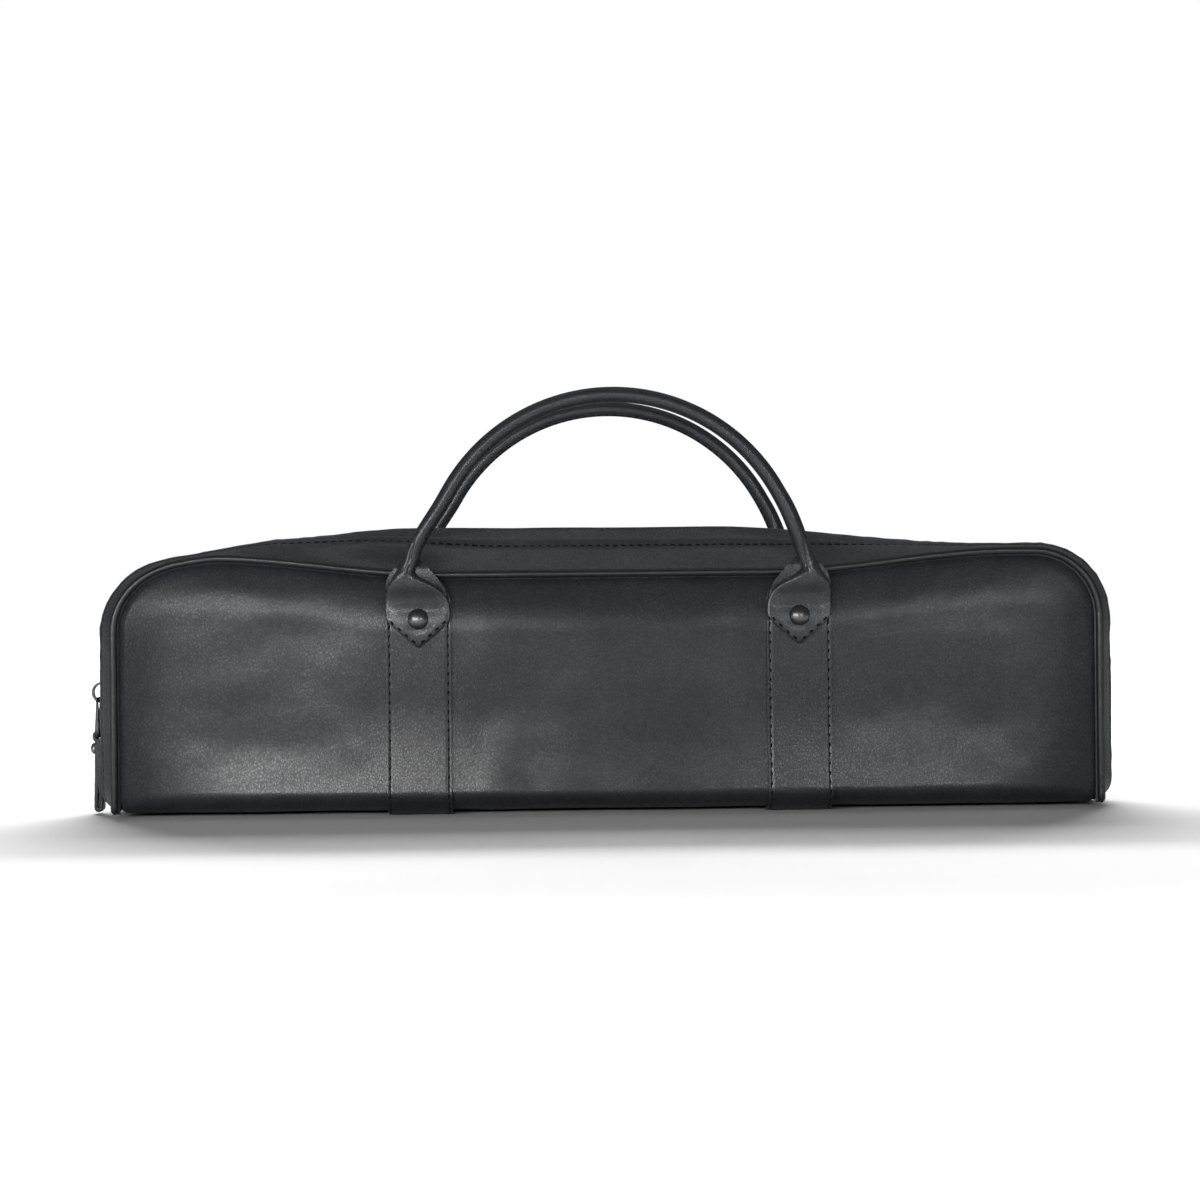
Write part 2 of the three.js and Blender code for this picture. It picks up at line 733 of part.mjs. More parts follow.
function sliderBail() {
  const half = bailLength / 2;
  const inner = half - bailWire;
  const top = wingOuterFace + bailHeight;
  const foot = wingOuterFace - clearance;
  const shape = new THREE.Shape();
  shape.moveTo(foot, -half);
  shape.lineTo(top - bailHeight / 2, -half);
  shape.quadraticCurveTo(top, -half, top, bailHeight / 2 - half);
  shape.lineTo(top, half - bailHeight / 2);
  shape.quadraticCurveTo(top, half, top - bailHeight / 2, half);
  shape.lineTo(foot, half);
  shape.lineTo(foot, inner);
  shape.lineTo(top - bailHeight / 2, inner);
  shape.quadraticCurveTo(top - bailWire, inner, top - bailWire, inner - bailWire);
  shape.lineTo(top - bailWire, bailWire - inner);
  shape.quadraticCurveTo(top - bailWire, -inner, top - bailHeight / 2, -inner);
  shape.lineTo(foot, -inner);
  return extrudeAlongY(shape, bailWidth);
}

function addSlider() {
  const slider = new THREE.Group();
  slider.position.set(-caseHalf, 0, sliderCentre);
  slider.rotation.z = Math.PI;
  bag.add(slider);
  const channel = chainThickness + 2 * channelPlay;
  const flangeReach = (channel - tapeThickness) / 2 - tapePlay;
  const innerWingFace = -wingDepth - channel;
  const pieces = [sliderWing(-wingDepth), sliderWing(innerWingFace - wingThickness)];
  for (const edge of [left, right]) {
    pieces.push(sliderFlange(edge, -wingDepth - flangeReach, flangeReach + wingThickness / 2));
    pieces.push(sliderFlange(edge, innerWingFace - wingThickness / 2, flangeReach + wingThickness / 2));
  }
  pieces.push(sliderPost(innerWingFace - wingThickness / 2, -wingDepth + wingThickness / 2));
  pieces.push(sliderBail());
  addMesh('zip_slider', joined(pieces), darkMetal(), slider);
}

// Pull: a flat ring through the bail, and a folded thong riveted round the ring's lower bar.

function roundedOutline(target, halfWidth, low, high, radius) {
  target.moveTo(radius - halfWidth, low);
  target.lineTo(halfWidth - radius, low);
  target.quadraticCurveTo(halfWidth, low, halfWidth, low + radius);
  target.lineTo(halfWidth, high - radius);
  target.quadraticCurveTo(halfWidth, high, halfWidth - radius, high);
  target.lineTo(radius - halfWidth, high);
  target.quadraticCurveTo(-halfWidth, high, -halfWidth, high - radius);
  target.lineTo(-halfWidth, low + radius);
  target.quadraticCurveTo(-halfWidth, low, radius - halfWidth, low);
  return target;
}

const barDistance = linkLength - linkWire; // between the middles of the link's two bars
const lowerBarHeight = pivotHeight - barDistance;

function addPull() {
  const pull = new THREE.Group();
  pull.position.set(-caseHalf - pivotOut, 0, pivotHeight);
  pull.rotation.z = Math.PI;
  bag.add(pull);
  const top = linkWire / 2;
  const shape = roundedOutline(new THREE.Shape(), linkWidth / 2, top - linkLength, top, 2 * linkWire);
  const holeHalf = linkWidth / 2 - linkWire;
  const holeLow = top - linkLength + linkWire;
  shape.holes.push(roundedOutline(new THREE.Path(), holeHalf, holeLow, top - linkWire, linkWire));
  addMesh('pull_link', extrudeAlongX(shape, linkThickness, -linkThickness / 2), darkMetal(), pull);
  const thong = new THREE.Group();
  thong.position.z = -barDistance;
  pull.add(thong);
  addMesh('pull_thong', thongSolid(), leather(), thong);
  addMesh('pull_rivet', pullRivet(), darkMetal(), thong);
}

// Edge view of the thong: an eye round the bar, two layers pressed together, and an open tip.
function thongSolid() {
  const eyeOuter = thongEye + thongWall;
  const tip = 1.3 * thongHalf;
  const tipCentre = tip - thongLength;
  const shape = new THREE.Shape();
  shape.absarc(0, 0, eyeOuter, -Math.PI / 3, Math.PI + Math.PI / 3, false);
  shape.lineTo(-thongHalf, -1.6 * eyeOuter);
  shape.lineTo(-thongHalf, tipCentre / 2);
  shape.absarc(0, tipCentre, tip, Math.PI, 2 * Math.PI, false);
  shape.lineTo(thongHalf, tipCentre / 2);
  shape.lineTo(thongHalf, -1.6 * eyeOuter);
  const eye = new THREE.Path().absarc(0, 0, thongEye, 0, 2 * Math.PI, true);
  const slot = new THREE.Path();
  roundedOutline(slot, tip - thongWall / 2, tipCentre, tipCentre + 6 * tip, tip / 4);
  shape.holes.push(eye, slot);
  const holeRadius = pullRivetShank + clearance / 2;
  const hole = new THREE.CylinderGeometry(holeRadius, holeRadius, linkWidth, 8);
  return cutBy(extrudeAlongY(shape, thongWidth), [hole.rotateZ(Math.PI / 2).translate(0, 0, -pullRivetDrop)]);
}

// A headed shank, turned about Y: a shaft, a domed head over it and a cap at its far end.
function rivetProfile(shank, length, head, dome, capRadius, cap) {
  const profile = [];
  const add = (radius, height) => profile.push(new THREE.Vector2(radius, height));
  add(0, -cap);
  if (cap > 0) {
    add(capRadius, -cap);
    add(capRadius, 0);
  }
  add(shank, 0);
  add(shank, length);
  add(head, length);
  const domeSteps = 3;
  for (let k = 1; k <= domeSteps; k++) {
    const angle = (Math.PI / 2) * (k / domeSteps);
    add(k === domeSteps ? 0 : head * Math.cos(angle), length + dome * Math.sin(angle));
  }
  return profile;
}

function pullRivet() {
  const length = 2 * (thongHalf + clearance);
  const cap = thongWall / 2;
  const capRadius = 2 * pullRivetShank;
  const profile = rivetProfile(pullRivetShank, length, pullRivetRadius, pullRivetDome, capRadius, cap);
  const rivet = new THREE.LatheGeometry(profile, 10);
  return rivet.rotateZ(-Math.PI / 2).translate(-length / 2, 0, -pullRivetDrop);
}

// Straps, tabs and rivets

function strapFace(x, z) {
  const flush = seamHalf + crownAt(x, z) + clearance;
  const lift = smoothStep(crossing - strapWidth / 3, crossing - pipingRadius, z);
  const overPiping = crossing + 2 * pipingRadius + handleRadius / 2;
  const lean = Math.max(z - overPiping, 0) * endLeanShare;
  return mix(flush, strapWing, lift) - lean;
}

const endLeanShare = 0.35;
const strapShares = [-1, -0.85, -0.5, 0, 0.5, 0.85, 1];

// How far a column of the strap ends below the arch's top, by its share of the half width.
function strapEndFall(share) {
  const turn = (2 / Math.PI) * Math.asin(Math.abs(share));
  return strapEndLength * turn ** (1 / strapEndPower);
}

function strapColumn(end, share, depth, side) {
  const x = end * tabOffset + (share * strapWidth) / 2;
  const top = strapEnd - strapEndFall(share);
  const foot = strapEndFoot - strapThickness;
  const lastPanelRow = mix(foldCentre, panelEdgeTop(x), 1 - 1 / panelRows);
  const outward = depth - strapInner;
  const arch = faceProfile(x, foot, top, 4, strapFace, outward, side);
  for (const point of arch) point.x += end * strapEndLean * smoothStep(strapEndFoot, neckHeight, point.z);
  return [
    ...bottomProfile(x, depth, side),
    ...faceProfile(x, foldCentre, lastPanelRow, panelRows - 1, strapFace, outward, side),
    ...arch,
  ];
}

const strapInner = -clearance; // depth of a strap's inner face, outside the panel's leather

function addStrap(side, end) {
  const layer = (depth) => strapShares.map((share) => strapColumn(end, share, depth, side));
  const strap = slab(layer(strapInner - strapThickness), layer(strapInner));
  const name = `${sideName.get(side)}_${endName.get(end)}_strap`;
  addMesh(name, cutBy(strap, [rivetHole(rivetShank + clearance, side, end)]), leather());
}

// Height as a share from the point to the neck, and half width as a share of the full half width.
const tabOutlineShares = [
  [0, 0.06],
  [0.22, 0.54],
  [0.43, 1],
  [0.64, 1],
  [0.77, 0.95],
  [0.88, 0.68],
  [0.95, 0.4],
  [1, 0.24],
];
const tabWidthShares = [-1, -0.5, 0, 0.5, 1];

// The tab's upper edge lies just clear of the handle's round end.
const tabFaceAtNeck = strapWing + strapThickness + clearance + tabThickness;
const seatRadius = handleRadius + clearance;
const tabTop = neckHeight - Math.sqrt(Math.max(seatRadius ** 2 - (handlePlane - tabFaceAtNeck) ** 2, 0));

function tabBack(x, z) {
  return strapFace(x, z) + strapThickness + clearance;
}

function addTab(side, end) {
  const layer = (thickness) => tabOutlineShares.map(([up, wide]) => tabWidthShares.map((share) => {
    const x = end * tabOffset + (share * wide * strapWidth) / 2;
    const z = mix(tabPoint, tabTop, up);
    return new THREE.Vector3(x + end * neckLean(z), side * (tabBack(x, z) + thickness), z);
  }));
  const tab = slab(layer(tabThickness), layer(0));
  const name = `${sideName.get(side)}_${endName.get(end)}_tab`;
  addMesh(name, cutBy(tab, [rivetHole(rivetShank + clearance, side, end)]), leather());
}

// The tab leans out towards the handle's neck above the rivet.
function neckLean(z) {
  const aside = neckOffset - tabOffset;
  return aside * smoothStep(rivetHeight + rivetRadius, tabTop, z);
}

function addRivet(side, end) {
  const tabFace = 2 * clearance + strapThickness + tabThickness;
  const shankEnd = -panelLeather - clearance - washerThickness;
  const length = tabFace + clearance - shankEnd;
  const profile = rivetProfile(rivetShank, length, rivetRadius, rivetDome, 0, 0);
  const rivet = new THREE.LatheGeometry(profile, 10).translate(0, shankEnd, 0);
  const name = `${sideName.get(side)}_${endName.get(end)}`;
  addMesh(`${name}_rivet`, placedAtRivet(rivet, side, end), blackEnamel());
  const shape = polygon(washerRadius, rivetSides);
  shape.holes.push(new THREE.Path(polygon(rivetShank + clearance, rivetSides).getPoints().reverse()));
  const washer = new THREE.ExtrudeGeometry(shape, { depth: washerThickness, bevelEnabled: false });
  washer.rotateX(-Math.PI / 2).translate(0, shankEnd, 0);
  addMesh(`${name}_rivet_washer`, placedAtRivet(washer, side, end), blackEnamel());
}

// Handles: an arch with two legs, from neck to neck

function handlePath(side, legSteps, arcSteps) {
  const centreZ = handleTop - handleArc;
  const footX = handleArc * Math.sin(handleArcAngle);
  const footZ = centreZ + handleArc * Math.cos(handleArcAngle);
  const neckX = neckOffset;
  const pull = (footZ - neckHeight) / 3;
  const place = (x, z) => new THREE.Vector3(x, side * handlePlane, z);
  const down = new THREE.Vector3(Math.cos(handleArcAngle), 0, -Math.sin(handleArcAngle));
  const neck = place(neckX, neckHeight);
  const foot = place(footX, footZ);
  const aboveNeck = place(neckX - pull * neckSlopeShare, neckHeight + pull);
  const leg = new THREE.CubicBezierCurve3(foot, foot.clone().addScaledVector(down, pull), aboveNeck, neck);
  const half = leg.getPoints(legSteps).reverse();
  for (let k = 1; k <= arcSteps; k++) {
    const angle = handleArcAngle * (1 - k / arcSteps);
    half.push(place(handleArc * Math.sin(angle), centreZ + handleArc * Math.cos(angle)));
  }
  const mirrored = half.slice(0, -1).reverse().map(({ x, y, z }) => new THREE.Vector3(-x, y, z));
  return [...half, ...mirrored];
}

const neckSlopeShare = 0.17;

// Rings of points square to a path in the plane of a handle, one for each point and radius given.
function ringsAlong(path, radii, sides) {
  const last = path.length - 1;
  return path.map((centre, k) => {
    const along = path[Math.min(k + 1, last)].clone().sub(path[Math.max(k - 1, 0)]).normalize();
    const across = new THREE.Vector3().crossVectors(along, yAxis);
    return Array.from({ length: sides }, (_, n) => {
      const angle = (2 * Math.PI * n) / sides;
      const point = centre.clone().addScaledVector(across, radii[k] * Math.cos(angle));
      return point.addScaledVector(yAxis, radii[k] * Math.sin(angle));
    });
  });
}

// A hollow sleeve: rings go along its outside and back through its bore.
function sleeve(rings) {
  const sides = rings[0].length;
  const triangles = [];
  const at = (k, n) => (k % rings.length) * sides + (n % sides);
  for (let k = 0; k < rings.length; k++) {
    for (let n = 0; n < sides; n++) {
      triangles.push([at(k, n), at(k + 1, n), at(k + 1, n + 1)], [at(k, n), at(k + 1, n + 1), at(k, n + 1)]);
    }
  }
  return closedGeometry(rings.flat(), triangles);
}

// The path with rounded ends past both necks, and the radius at each of its points.
function roundedEnds(path, radius) {
  const last = path.length - 1;
  const centres = [...path];
  const radii = path.map(() => radius);
  const turns = [Math.PI / 6, Math.PI / 3, (5 * Math.PI) / 12];
  for (const turn of turns) {
    const past = (end, next) => end.clone().add(end.clone().sub(next).setLength(radius * Math.sin(turn)));
    centres.unshift(past(path[0], path[1]));
    centres.push(past(path[last], path[last - 1]));
    radii.unshift(radius * Math.cos(turn));
    radii.push(radius * Math.cos(turn));
  }
  return { centres, radii };
}

function addHandle(side) {
  const name = sideName.get(side);
  const sides = 8;
  const { centres, radii } = roundedEnds(handlePath(side, 4, 6), handleRadius);
  const outside = ringsAlong(centres, radii, sides);
  const corePath = handlePath(side, 3, 4);
  const borePath = [centres[0], ...corePath, centres[centres.length - 1]];
  const boreRadii = borePath.map(() => handleCoreRadius + clearance);
  boreRadii[0] = boreRadii[borePath.length - 1] = radii[0] / 2;
  const inside = ringsAlong(borePath, boreRadii, sides).reverse();
  addMesh(`${name}_handle`, sleeve([...outside, ...inside]), leather());
  addMesh(`${name}_handle_core`, tubeAlong(corePath, polygon(handleCoreRadius, 5)), cottonCord());
}

for (const side of [front, back]) {
  addPanelLayers(side);
  addGusset(side);
  addPiping(side);
  addZipTape(side);
  addZipTeeth(side);
  addTopStop(side);
  for (const end of [left, right]) {
    addStrap(side, end);
    addTab(side, end);
    addRivet(side, end);
  }
  addHandle(side);
}
addEndStop();
addSlider();
addPull();

// The pull stands out of the left end, so the bag moves to keep the middle of the whole at x = 0.
const pullReach = pivotOut + thongHalf + clearance + pullRivetDome;
const part = new THREE.Group();
bag.position.x = pullReach / 2;
part.add(bag);

export default part;
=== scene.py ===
import math

import bmesh
import bpy
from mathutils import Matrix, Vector, noise


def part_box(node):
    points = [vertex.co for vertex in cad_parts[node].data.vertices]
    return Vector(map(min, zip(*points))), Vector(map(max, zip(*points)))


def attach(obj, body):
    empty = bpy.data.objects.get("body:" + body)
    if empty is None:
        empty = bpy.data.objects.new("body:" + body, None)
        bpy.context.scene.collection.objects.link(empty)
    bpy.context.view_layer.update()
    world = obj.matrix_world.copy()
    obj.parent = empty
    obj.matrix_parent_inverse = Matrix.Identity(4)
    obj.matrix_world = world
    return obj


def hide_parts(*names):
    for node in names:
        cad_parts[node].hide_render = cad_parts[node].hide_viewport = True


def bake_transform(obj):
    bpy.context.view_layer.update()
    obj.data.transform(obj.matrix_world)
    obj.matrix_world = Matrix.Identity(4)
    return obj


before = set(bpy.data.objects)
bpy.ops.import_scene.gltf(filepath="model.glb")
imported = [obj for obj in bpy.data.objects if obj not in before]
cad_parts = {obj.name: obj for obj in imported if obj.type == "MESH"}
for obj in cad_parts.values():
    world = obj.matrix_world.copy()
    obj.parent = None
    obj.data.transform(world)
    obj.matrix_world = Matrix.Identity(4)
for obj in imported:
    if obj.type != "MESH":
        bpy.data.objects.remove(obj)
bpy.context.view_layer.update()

# Studio: a white table under two wide windows behind the bag, so that a soft shadow falls
# forward. The room is white behind and dim in front, with low softboxes there and one overhead.
TABLE_REACH = 6
TABLE_COLOUR = 0.9
GLOW_FROM, GLOW_FULL = 0.32, 0.8
ROOM_LIGHT = 0.02
ROOM_WHITE = 1.0
ROOM_MIRRORED = 0.12
ROOM_DIM = 0.1
DIM_FROM, DIM_FULL = 1.1, -0.4
# painted shade: reflections see the table behind the bag painted dark, so the bag's ends and back
# look darker
TABLE_SHADE_IN_REFLECTIONS = 0.15
SHADED_FROM, SHADED_FULL = -0.15, 0.1
LAMPS = {
    "window_low": dict(at=(0, 4.05, 2.93), to=(0, 0, 0), size=(5.2, 0.55), power=310),
    "window_high": dict(at=(0, 3.4, 3.66), to=(0, 0, 0), size=(3.6, 1.9), power=140),
    "softbox_above": dict(at=(0, 0.06, 1.4), to=(0, 0, 0), size=(1.4, 0.2), power=1.2),
    "softbox_front": dict(at=(-0.42, -1.3, 0.25), to=(-0.05, 0, 0.03), size=(0.7, 0.14),
                          power=5.8),
    "softbox_left": dict(at=(-0.8, -1.0, 0.24), to=(-0.1, 0, 0.08), size=(0.16, 0.24), power=2.4),
    "softbox_right": dict(at=(0.42, -1.3, 0.24), to=(0.05, 0, 0.03), size=(0.5, 0.14), power=1.9),
}
CAMERA_ASIDE = -0.0279
CAMERA_TURN = -0.02437
CAMERA_BACK = 1.030
CAMERA_HEIGHT = 0.089
CAMERA_ROLL = 0.0105
CAMERA_LENS = 72
CAMERA_SENSOR = 36
panel_low, panel_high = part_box("front_panel")
bag_middle = (panel_low.x + panel_high.x) / 2


def figure(nodes, links, operation, *values):
    """A Math node over sockets and plain numbers."""
    node = nodes.new("ShaderNodeMath")
    node.operation = operation
    for socket, value in zip(node.inputs, values):
        if isinstance(value, (int, float)):
            socket.default_value = value
        else:
            links.new(value, socket)
    return node.outputs[0]


def seen_rays(nodes, links):
    """1 for what the camera sees, straight or in a reflection, and 1 for reflections alone."""
    path = nodes.new("ShaderNodeLightPath").outputs
    straight = figure(nodes, links, "MAXIMUM", path["Is Camera Ray"], path["Is Glossy Ray"])
    seen = figure(nodes, links, "MAXIMUM", straight, path["Is Transmission Ray"])
    return seen, path["Is Glossy Ray"]


def share_between(nodes, links, value, low, high):
    ramp = nodes.new("ShaderNodeMapRange")
    ramp.interpolation_type = "SMOOTHSTEP"
    ramp.inputs["From Min"].default_value = low
    ramp.inputs["From Max"].default_value = high
    links.new(value, ramp.inputs["Value"])
    return ramp.outputs["Result"]


def scaled(nodes, links, value, factor, plus=0.0):
    return figure(nodes, links, "MULTIPLY_ADD", value, factor, plus)


def lay_table():
    corners = [(-TABLE_REACH, -TABLE_REACH, 0), (TABLE_REACH, -TABLE_REACH, 0),
               (TABLE_REACH, TABLE_REACH, 0), (-TABLE_REACH, TABLE_REACH, 0)]
    mesh = bpy.data.meshes.new("table_top")
    mesh.from_pydata(corners, [], [(0, 1, 2, 3)])
    table = bpy.data.objects.new("table_top", mesh)
    bpy.context.scene.collection.objects.link(table)
    finish = bpy.data.materials.new("white_table")
    finish.use_nodes = True
    nodes, links = finish.node_tree.nodes, finish.node_tree.links
    nodes.clear()
    matt = nodes.new("ShaderNodeBsdfDiffuse")
    glow = nodes.new("ShaderNodeEmission")
    distance = nodes.new("ShaderNodeVectorMath")
    distance.operation = "LENGTH"
    place = nodes.new("ShaderNodeNewGeometry").outputs["Position"]
    links.new(place, distance.inputs[0])
    far = share_between(nodes, links, distance.outputs["Value"], GLOW_FROM, GLOW_FULL)
    seen, mirrored = seen_rays(nodes, links)
    spot = nodes.new("ShaderNodeSeparateXYZ")
    links.new(place, spot.inputs[0])
    behind = share_between(nodes, links, spot.outputs["Y"], SHADED_FROM, SHADED_FULL)
    # painted shade: behind the bag the table's colour is darkened, for reflections only
    painted_dark_behind = figure(nodes, links, "MULTIPLY", behind, mirrored)
    paint = scaled(nodes, links, painted_dark_behind, TABLE_COLOUR * (TABLE_SHADE_IN_REFLECTIONS - 1), TABLE_COLOUR)
    links.new(paint, matt.inputs["Color"])
    shown = figure(nodes, links, "MULTIPLY_ADD", mirrored, ROOM_MIRRORED - ROOM_WHITE, seen)
    links.new(figure(nodes, links, "MULTIPLY", shown, far), glow.inputs["Strength"])
    both = nodes.new("ShaderNodeAddShader")
    links.new(matt.outputs[0], both.inputs[0])
    links.new(glow.outputs[0], both.inputs[1])
    out = nodes.new("ShaderNodeOutputMaterial")
    links.new(both.outputs[0], out.inputs["Surface"])
    mesh.materials.append(finish)


def light_room():
    room = bpy.data.worlds.new("white_room")
    bpy.context.scene.world = room
    room.use_nodes = True
    nodes, links = room.node_tree.nodes, room.node_tree.links
    background = nodes["Background"]
    background.inputs["Color"].default_value = (1, 1, 1, 1)
    seen, mirrored = seen_rays(nodes, links)
    way = nodes.new("ShaderNodeSeparateXYZ")
    links.new(nodes.new("ShaderNodeTexCoord").outputs["Generated"], way.inputs[0])
    ahead = share_between(nodes, links, way.outputs["Y"], DIM_FROM, DIM_FULL)
    fall = scaled(nodes, links, ahead, ROOM_DIM - ROOM_MIRRORED, ROOM_MIRRORED - ROOM_WHITE)
    shown = figure(nodes, links, "MULTIPLY_ADD", fall, mirrored, ROOM_WHITE - ROOM_LIGHT)
    strength = figure(nodes, links, "MULTIPLY_ADD", seen, shown, ROOM_LIGHT)
    links.new(strength, background.inputs["Strength"])
    for name, box in LAMPS.items():
        lamp = bpy.data.lights.new(name, "AREA")
        lamp.shape = "RECTANGLE"
        lamp.size, lamp.size_y = box["size"]
        lamp.energy = box["power"]
        stand = bpy.data.objects.new(name, lamp)
        stand.location = box["at"]
        aim = Vector(box["to"]) - Vector(box["at"])
        stand.rotation_euler = aim.to_track_quat("-Z", "Y").to_euler()
        stand.visible_camera = False
        stand.visible_glossy = name.startswith("softbox")
        bpy.context.scene.collection.objects.link(stand)


def set_camera():
    camera = bpy.data.objects.new("camera", bpy.data.cameras.new("camera"))
    camera.data.lens = CAMERA_LENS
    camera.data.sensor_width = CAMERA_SENSOR
    camera.location = (bag_middle + CAMERA_ASIDE, -CAMERA_BACK, CAMERA_HEIGHT)
    camera.rotation_euler = (math.pi / 2, CAMERA_ROLL, CAMERA_TURN)
    bpy.context.scene.collection.objects.link(camera)
    bpy.context.scene.camera = camera
    bpy.context.scene.view_settings.view_transform = "Standard"


lay_table()
light_room()
set_camera()

# Hide of the body: one piece of pebbled cowhide makes the front, the bottom and the back. It is
# turned in at its rim, where the welt is sewn, and lies loose over a board, so it waves slightly.
MM = 0.001
FRONT, BACK = -1, 1
LEFT, RIGHT = -1, 1
HALF_NAME = {FRONT: "front", BACK: "back"}
END_NAME = {LEFT: "left", RIGHT: "right"}
PANEL_HALF = 204
PANEL_TOP = 106.1
PANEL_CORNER = 26
CROWN = 3
CROWN_POWER = 4
SEAM_HALF = 30
FOLD_RADIUS = 7
FOLD_CENTRE = 8.9
DIP = dict(lift=-7.8, flat=68, reach=168)
CROWN_ALONG = 6
BELLY = dict(out=3.6, low=1.2, full=5.5, high=48, power=1.7)
RIM_FALL = 22
RIM_POWER = 1.6
HIDE_THICKNESS = 1.3
RIM_THICKNESS = 1.0
RIM_ROLL = 4.2
RIM_DROP = 2.4
CORNER_SAG = dict(drop=3.4, right=-160, left=-192, low=45, high=98)
SHOULDER = dict(lift=3.8, left=-172, full_left=-138, full_right=-108, right=-36, side=(27, 13),
                height=(88, 104))
HANDLE_LEAN = dict(by=2.0, low=109, high=132, beyond=32)
BROAD_SLACK = 0.42
SMALL_SLACK = 0.16
LONG_WAVE, TALL_WAVE, SMALL_WAVE = (62, 30), (30, 60), (17, 12)
HELD_BY_STRAP = (1.5, 16)
HELD_BY_SEAM = (2, 14)
UNPOLISHED_RIM = (30, 4)
NEXT_TO_RIM_WEAR = 0.45
STRAP_MIDDLE = 79
STRAP_HALF = 13.35
PEBBLE = 0.95
HIDE_COLOUR = (0.025, 0.028, 0.0335, 1)


def clamp(value):
    return min(1.0, max(0.0, value))


def mix(low, high, share):
    return low + (high - low) * share


def ease(low, high, value):
    share = clamp((value - low) / (high - low))
    return share * share * (3 - 2 * share)


def hump(line, x):
    return 1 - ease(line["flat"], line["reach"], abs(x))


def panel_top(x):
    corner = PANEL_HALF - PANEL_CORNER
    if abs(x) <= corner:
        return PANEL_TOP + DIP["lift"] * hump(DIP, x)
    out = min(abs(x) - corner, PANEL_CORNER)
    return PANEL_TOP - PANEL_CORNER + math.sqrt(PANEL_CORNER ** 2 - out ** 2)


def panel_face(x, z):
    along = max(1 - (abs(x) / PANEL_HALF) ** CROWN_POWER, 0)
    up = 2 * clamp((z - FOLD_CENTRE) / (panel_top(x) - FOLD_CENTRE)) - 1
    return SEAM_HALF + CROWN * along * (1 - up * up)


def hide_face(x, z):
    """The hide's face: upright over most of its height, with a belly just above the fold."""
    along = max(1 - (abs(x) / PANEL_HALF) ** CROWN_ALONG, 0)
    fall = clamp((z - panel_top(x) + RIM_FALL) / RIM_FALL)
    full = CROWN * ease(BELLY["low"], BELLY["full"], z) * (1 - fall ** RIM_POWER)
    above = clamp((z - BELLY["full"]) / (BELLY["high"] - BELLY["full"]))
    rise = ease(BELLY["low"], BELLY["full"], z) * (1 - above) ** BELLY["power"]
    return SEAM_HALF + along * (full + BELLY["out"] * rise)


def rim_distance(x, z):
    corner = PANEL_HALF - PANEL_CORNER
    low = PANEL_TOP - PANEL_CORNER
    if abs(x) > corner and z > low:
        return max(PANEL_CORNER - math.hypot(abs(x) - corner, z - low), 0)
    return max(min(PANEL_HALF - abs(x), panel_top(x) - z), 0)


def rolled_in(distance, reach, drop):
    """How far a turned edge falls back at some distance from the edge."""
    if distance >= reach:
        return 0
    out = 1 - distance / reach
    return drop * (1 - math.sqrt(1 - out * out))


def wave(x, z, seed, length, height):
    return noise.noise(Vector((x / length, z / height, seed)))


def slack(x, z, half):
    """How far the loose hide stands off its board; beside the straps it is held down."""
    off_strap = abs(abs(x) - STRAP_MIDDLE) - STRAP_HALF
    loose = ease(*HELD_BY_STRAP, off_strap) * ease(*HELD_BY_SEAM, rim_distance(x, z))
    broad = wave(x, z, 3.1 * half, *LONG_WAVE) + 0.6 * wave(x, z, 7.7 * half, *TALL_WAVE)
    small = wave(x, z, 11.3 * half, *SMALL_WAVE)
    return loose * (BROAD_SLACK * broad + SMALL_SLACK * small)


def slab(outer, inner):
    """Points and faces of a closed piece between two grids with the same rows and columns."""
    rows, columns = len(outer), len(outer[0])
    points = [p for row in outer for p in row] + [p for row in inner for p in row]
    under = rows * columns
    faces = []
    for i in range(rows - 1):
        for j in range(columns - 1):
            a = i * columns + j
            b = a + columns
            faces.append((a, b, b + 1, a + 1))
            faces.append((under + a, under + a + 1, under + b + 1, under + b))
    border = [(0, j) for j in range(columns)]
    border += [(i, columns - 1) for i in range(1, rows)]
    border += [(rows - 1, j) for j in range(columns - 2, -1, -1)]
    border += [(i, 0) for i in range(rows - 2, 0, -1)]
    rim = [i * columns + j for i, j in border]
    for a, b in zip(rim, rim[1:] + rim[:1]):
        faces.append((a, b, under + b, under + a))
    return points, faces


def settled(x, y, z):
    """Where a point goes as the bag settles: its left upper corner sinks, the gusset beside it
    stands up, and the handles lean a little to the right."""
    sag, lift, lean = CORNER_SAG, SHOULDER, HANDLE_LEAN
    sunk = sag["drop"] * ease(sag["right"], sag["left"], x) * ease(sag["low"], sag["high"], z)
    full = (ease(lift["left"], lift["full_left"], x)
            * (1 - ease(lift["full_right"], lift["right"], x)))
    raised = lift["lift"] * full * ease(*lift["side"], abs(y)) * ease(*lift["height"], z)
    leant = lean["by"] * ease(lean["low"], lean["high"], z) if abs(y) > lean["beyond"] else 0
    return bag_middle + (x + leant) * MM, y * MM, (z - sunk + raised) * MM


def cut_piece(name, points, faces, finish, wear=None, unpolished=None, weave=None):
    """A piece from points in millimetres about the bag's middle, in place, with its finish on."""
    mesh = bpy.data.meshes.new(name)
    mesh.from_pydata([settled(*p) for p in points], [], faces)
    shaped = bmesh.new()
    shaped.from_mesh(mesh)
    bmesh.ops.recalc_face_normals(shaped, faces=shaped.faces)
    shaped.to_mesh(mesh)
    shaped.free()
    mesh.shade_smooth()
    mesh.materials.append(finish)
    for mask, values in (("wear", wear), ("unpolished", unpolished)):
        if values:
            mesh.attributes.new(mask, "FLOAT", "POINT").data.foreach_set("value", values)
    if weave:
        layer = mesh.uv_layers.new(name="weave")
        for corner in mesh.loops:
            layer.data[corner.index].uv = weave[corner.vertex_index]
    piece = bpy.data.objects.new(name, mesh)
    bpy.context.scene.collection.objects.link(piece)
    return piece


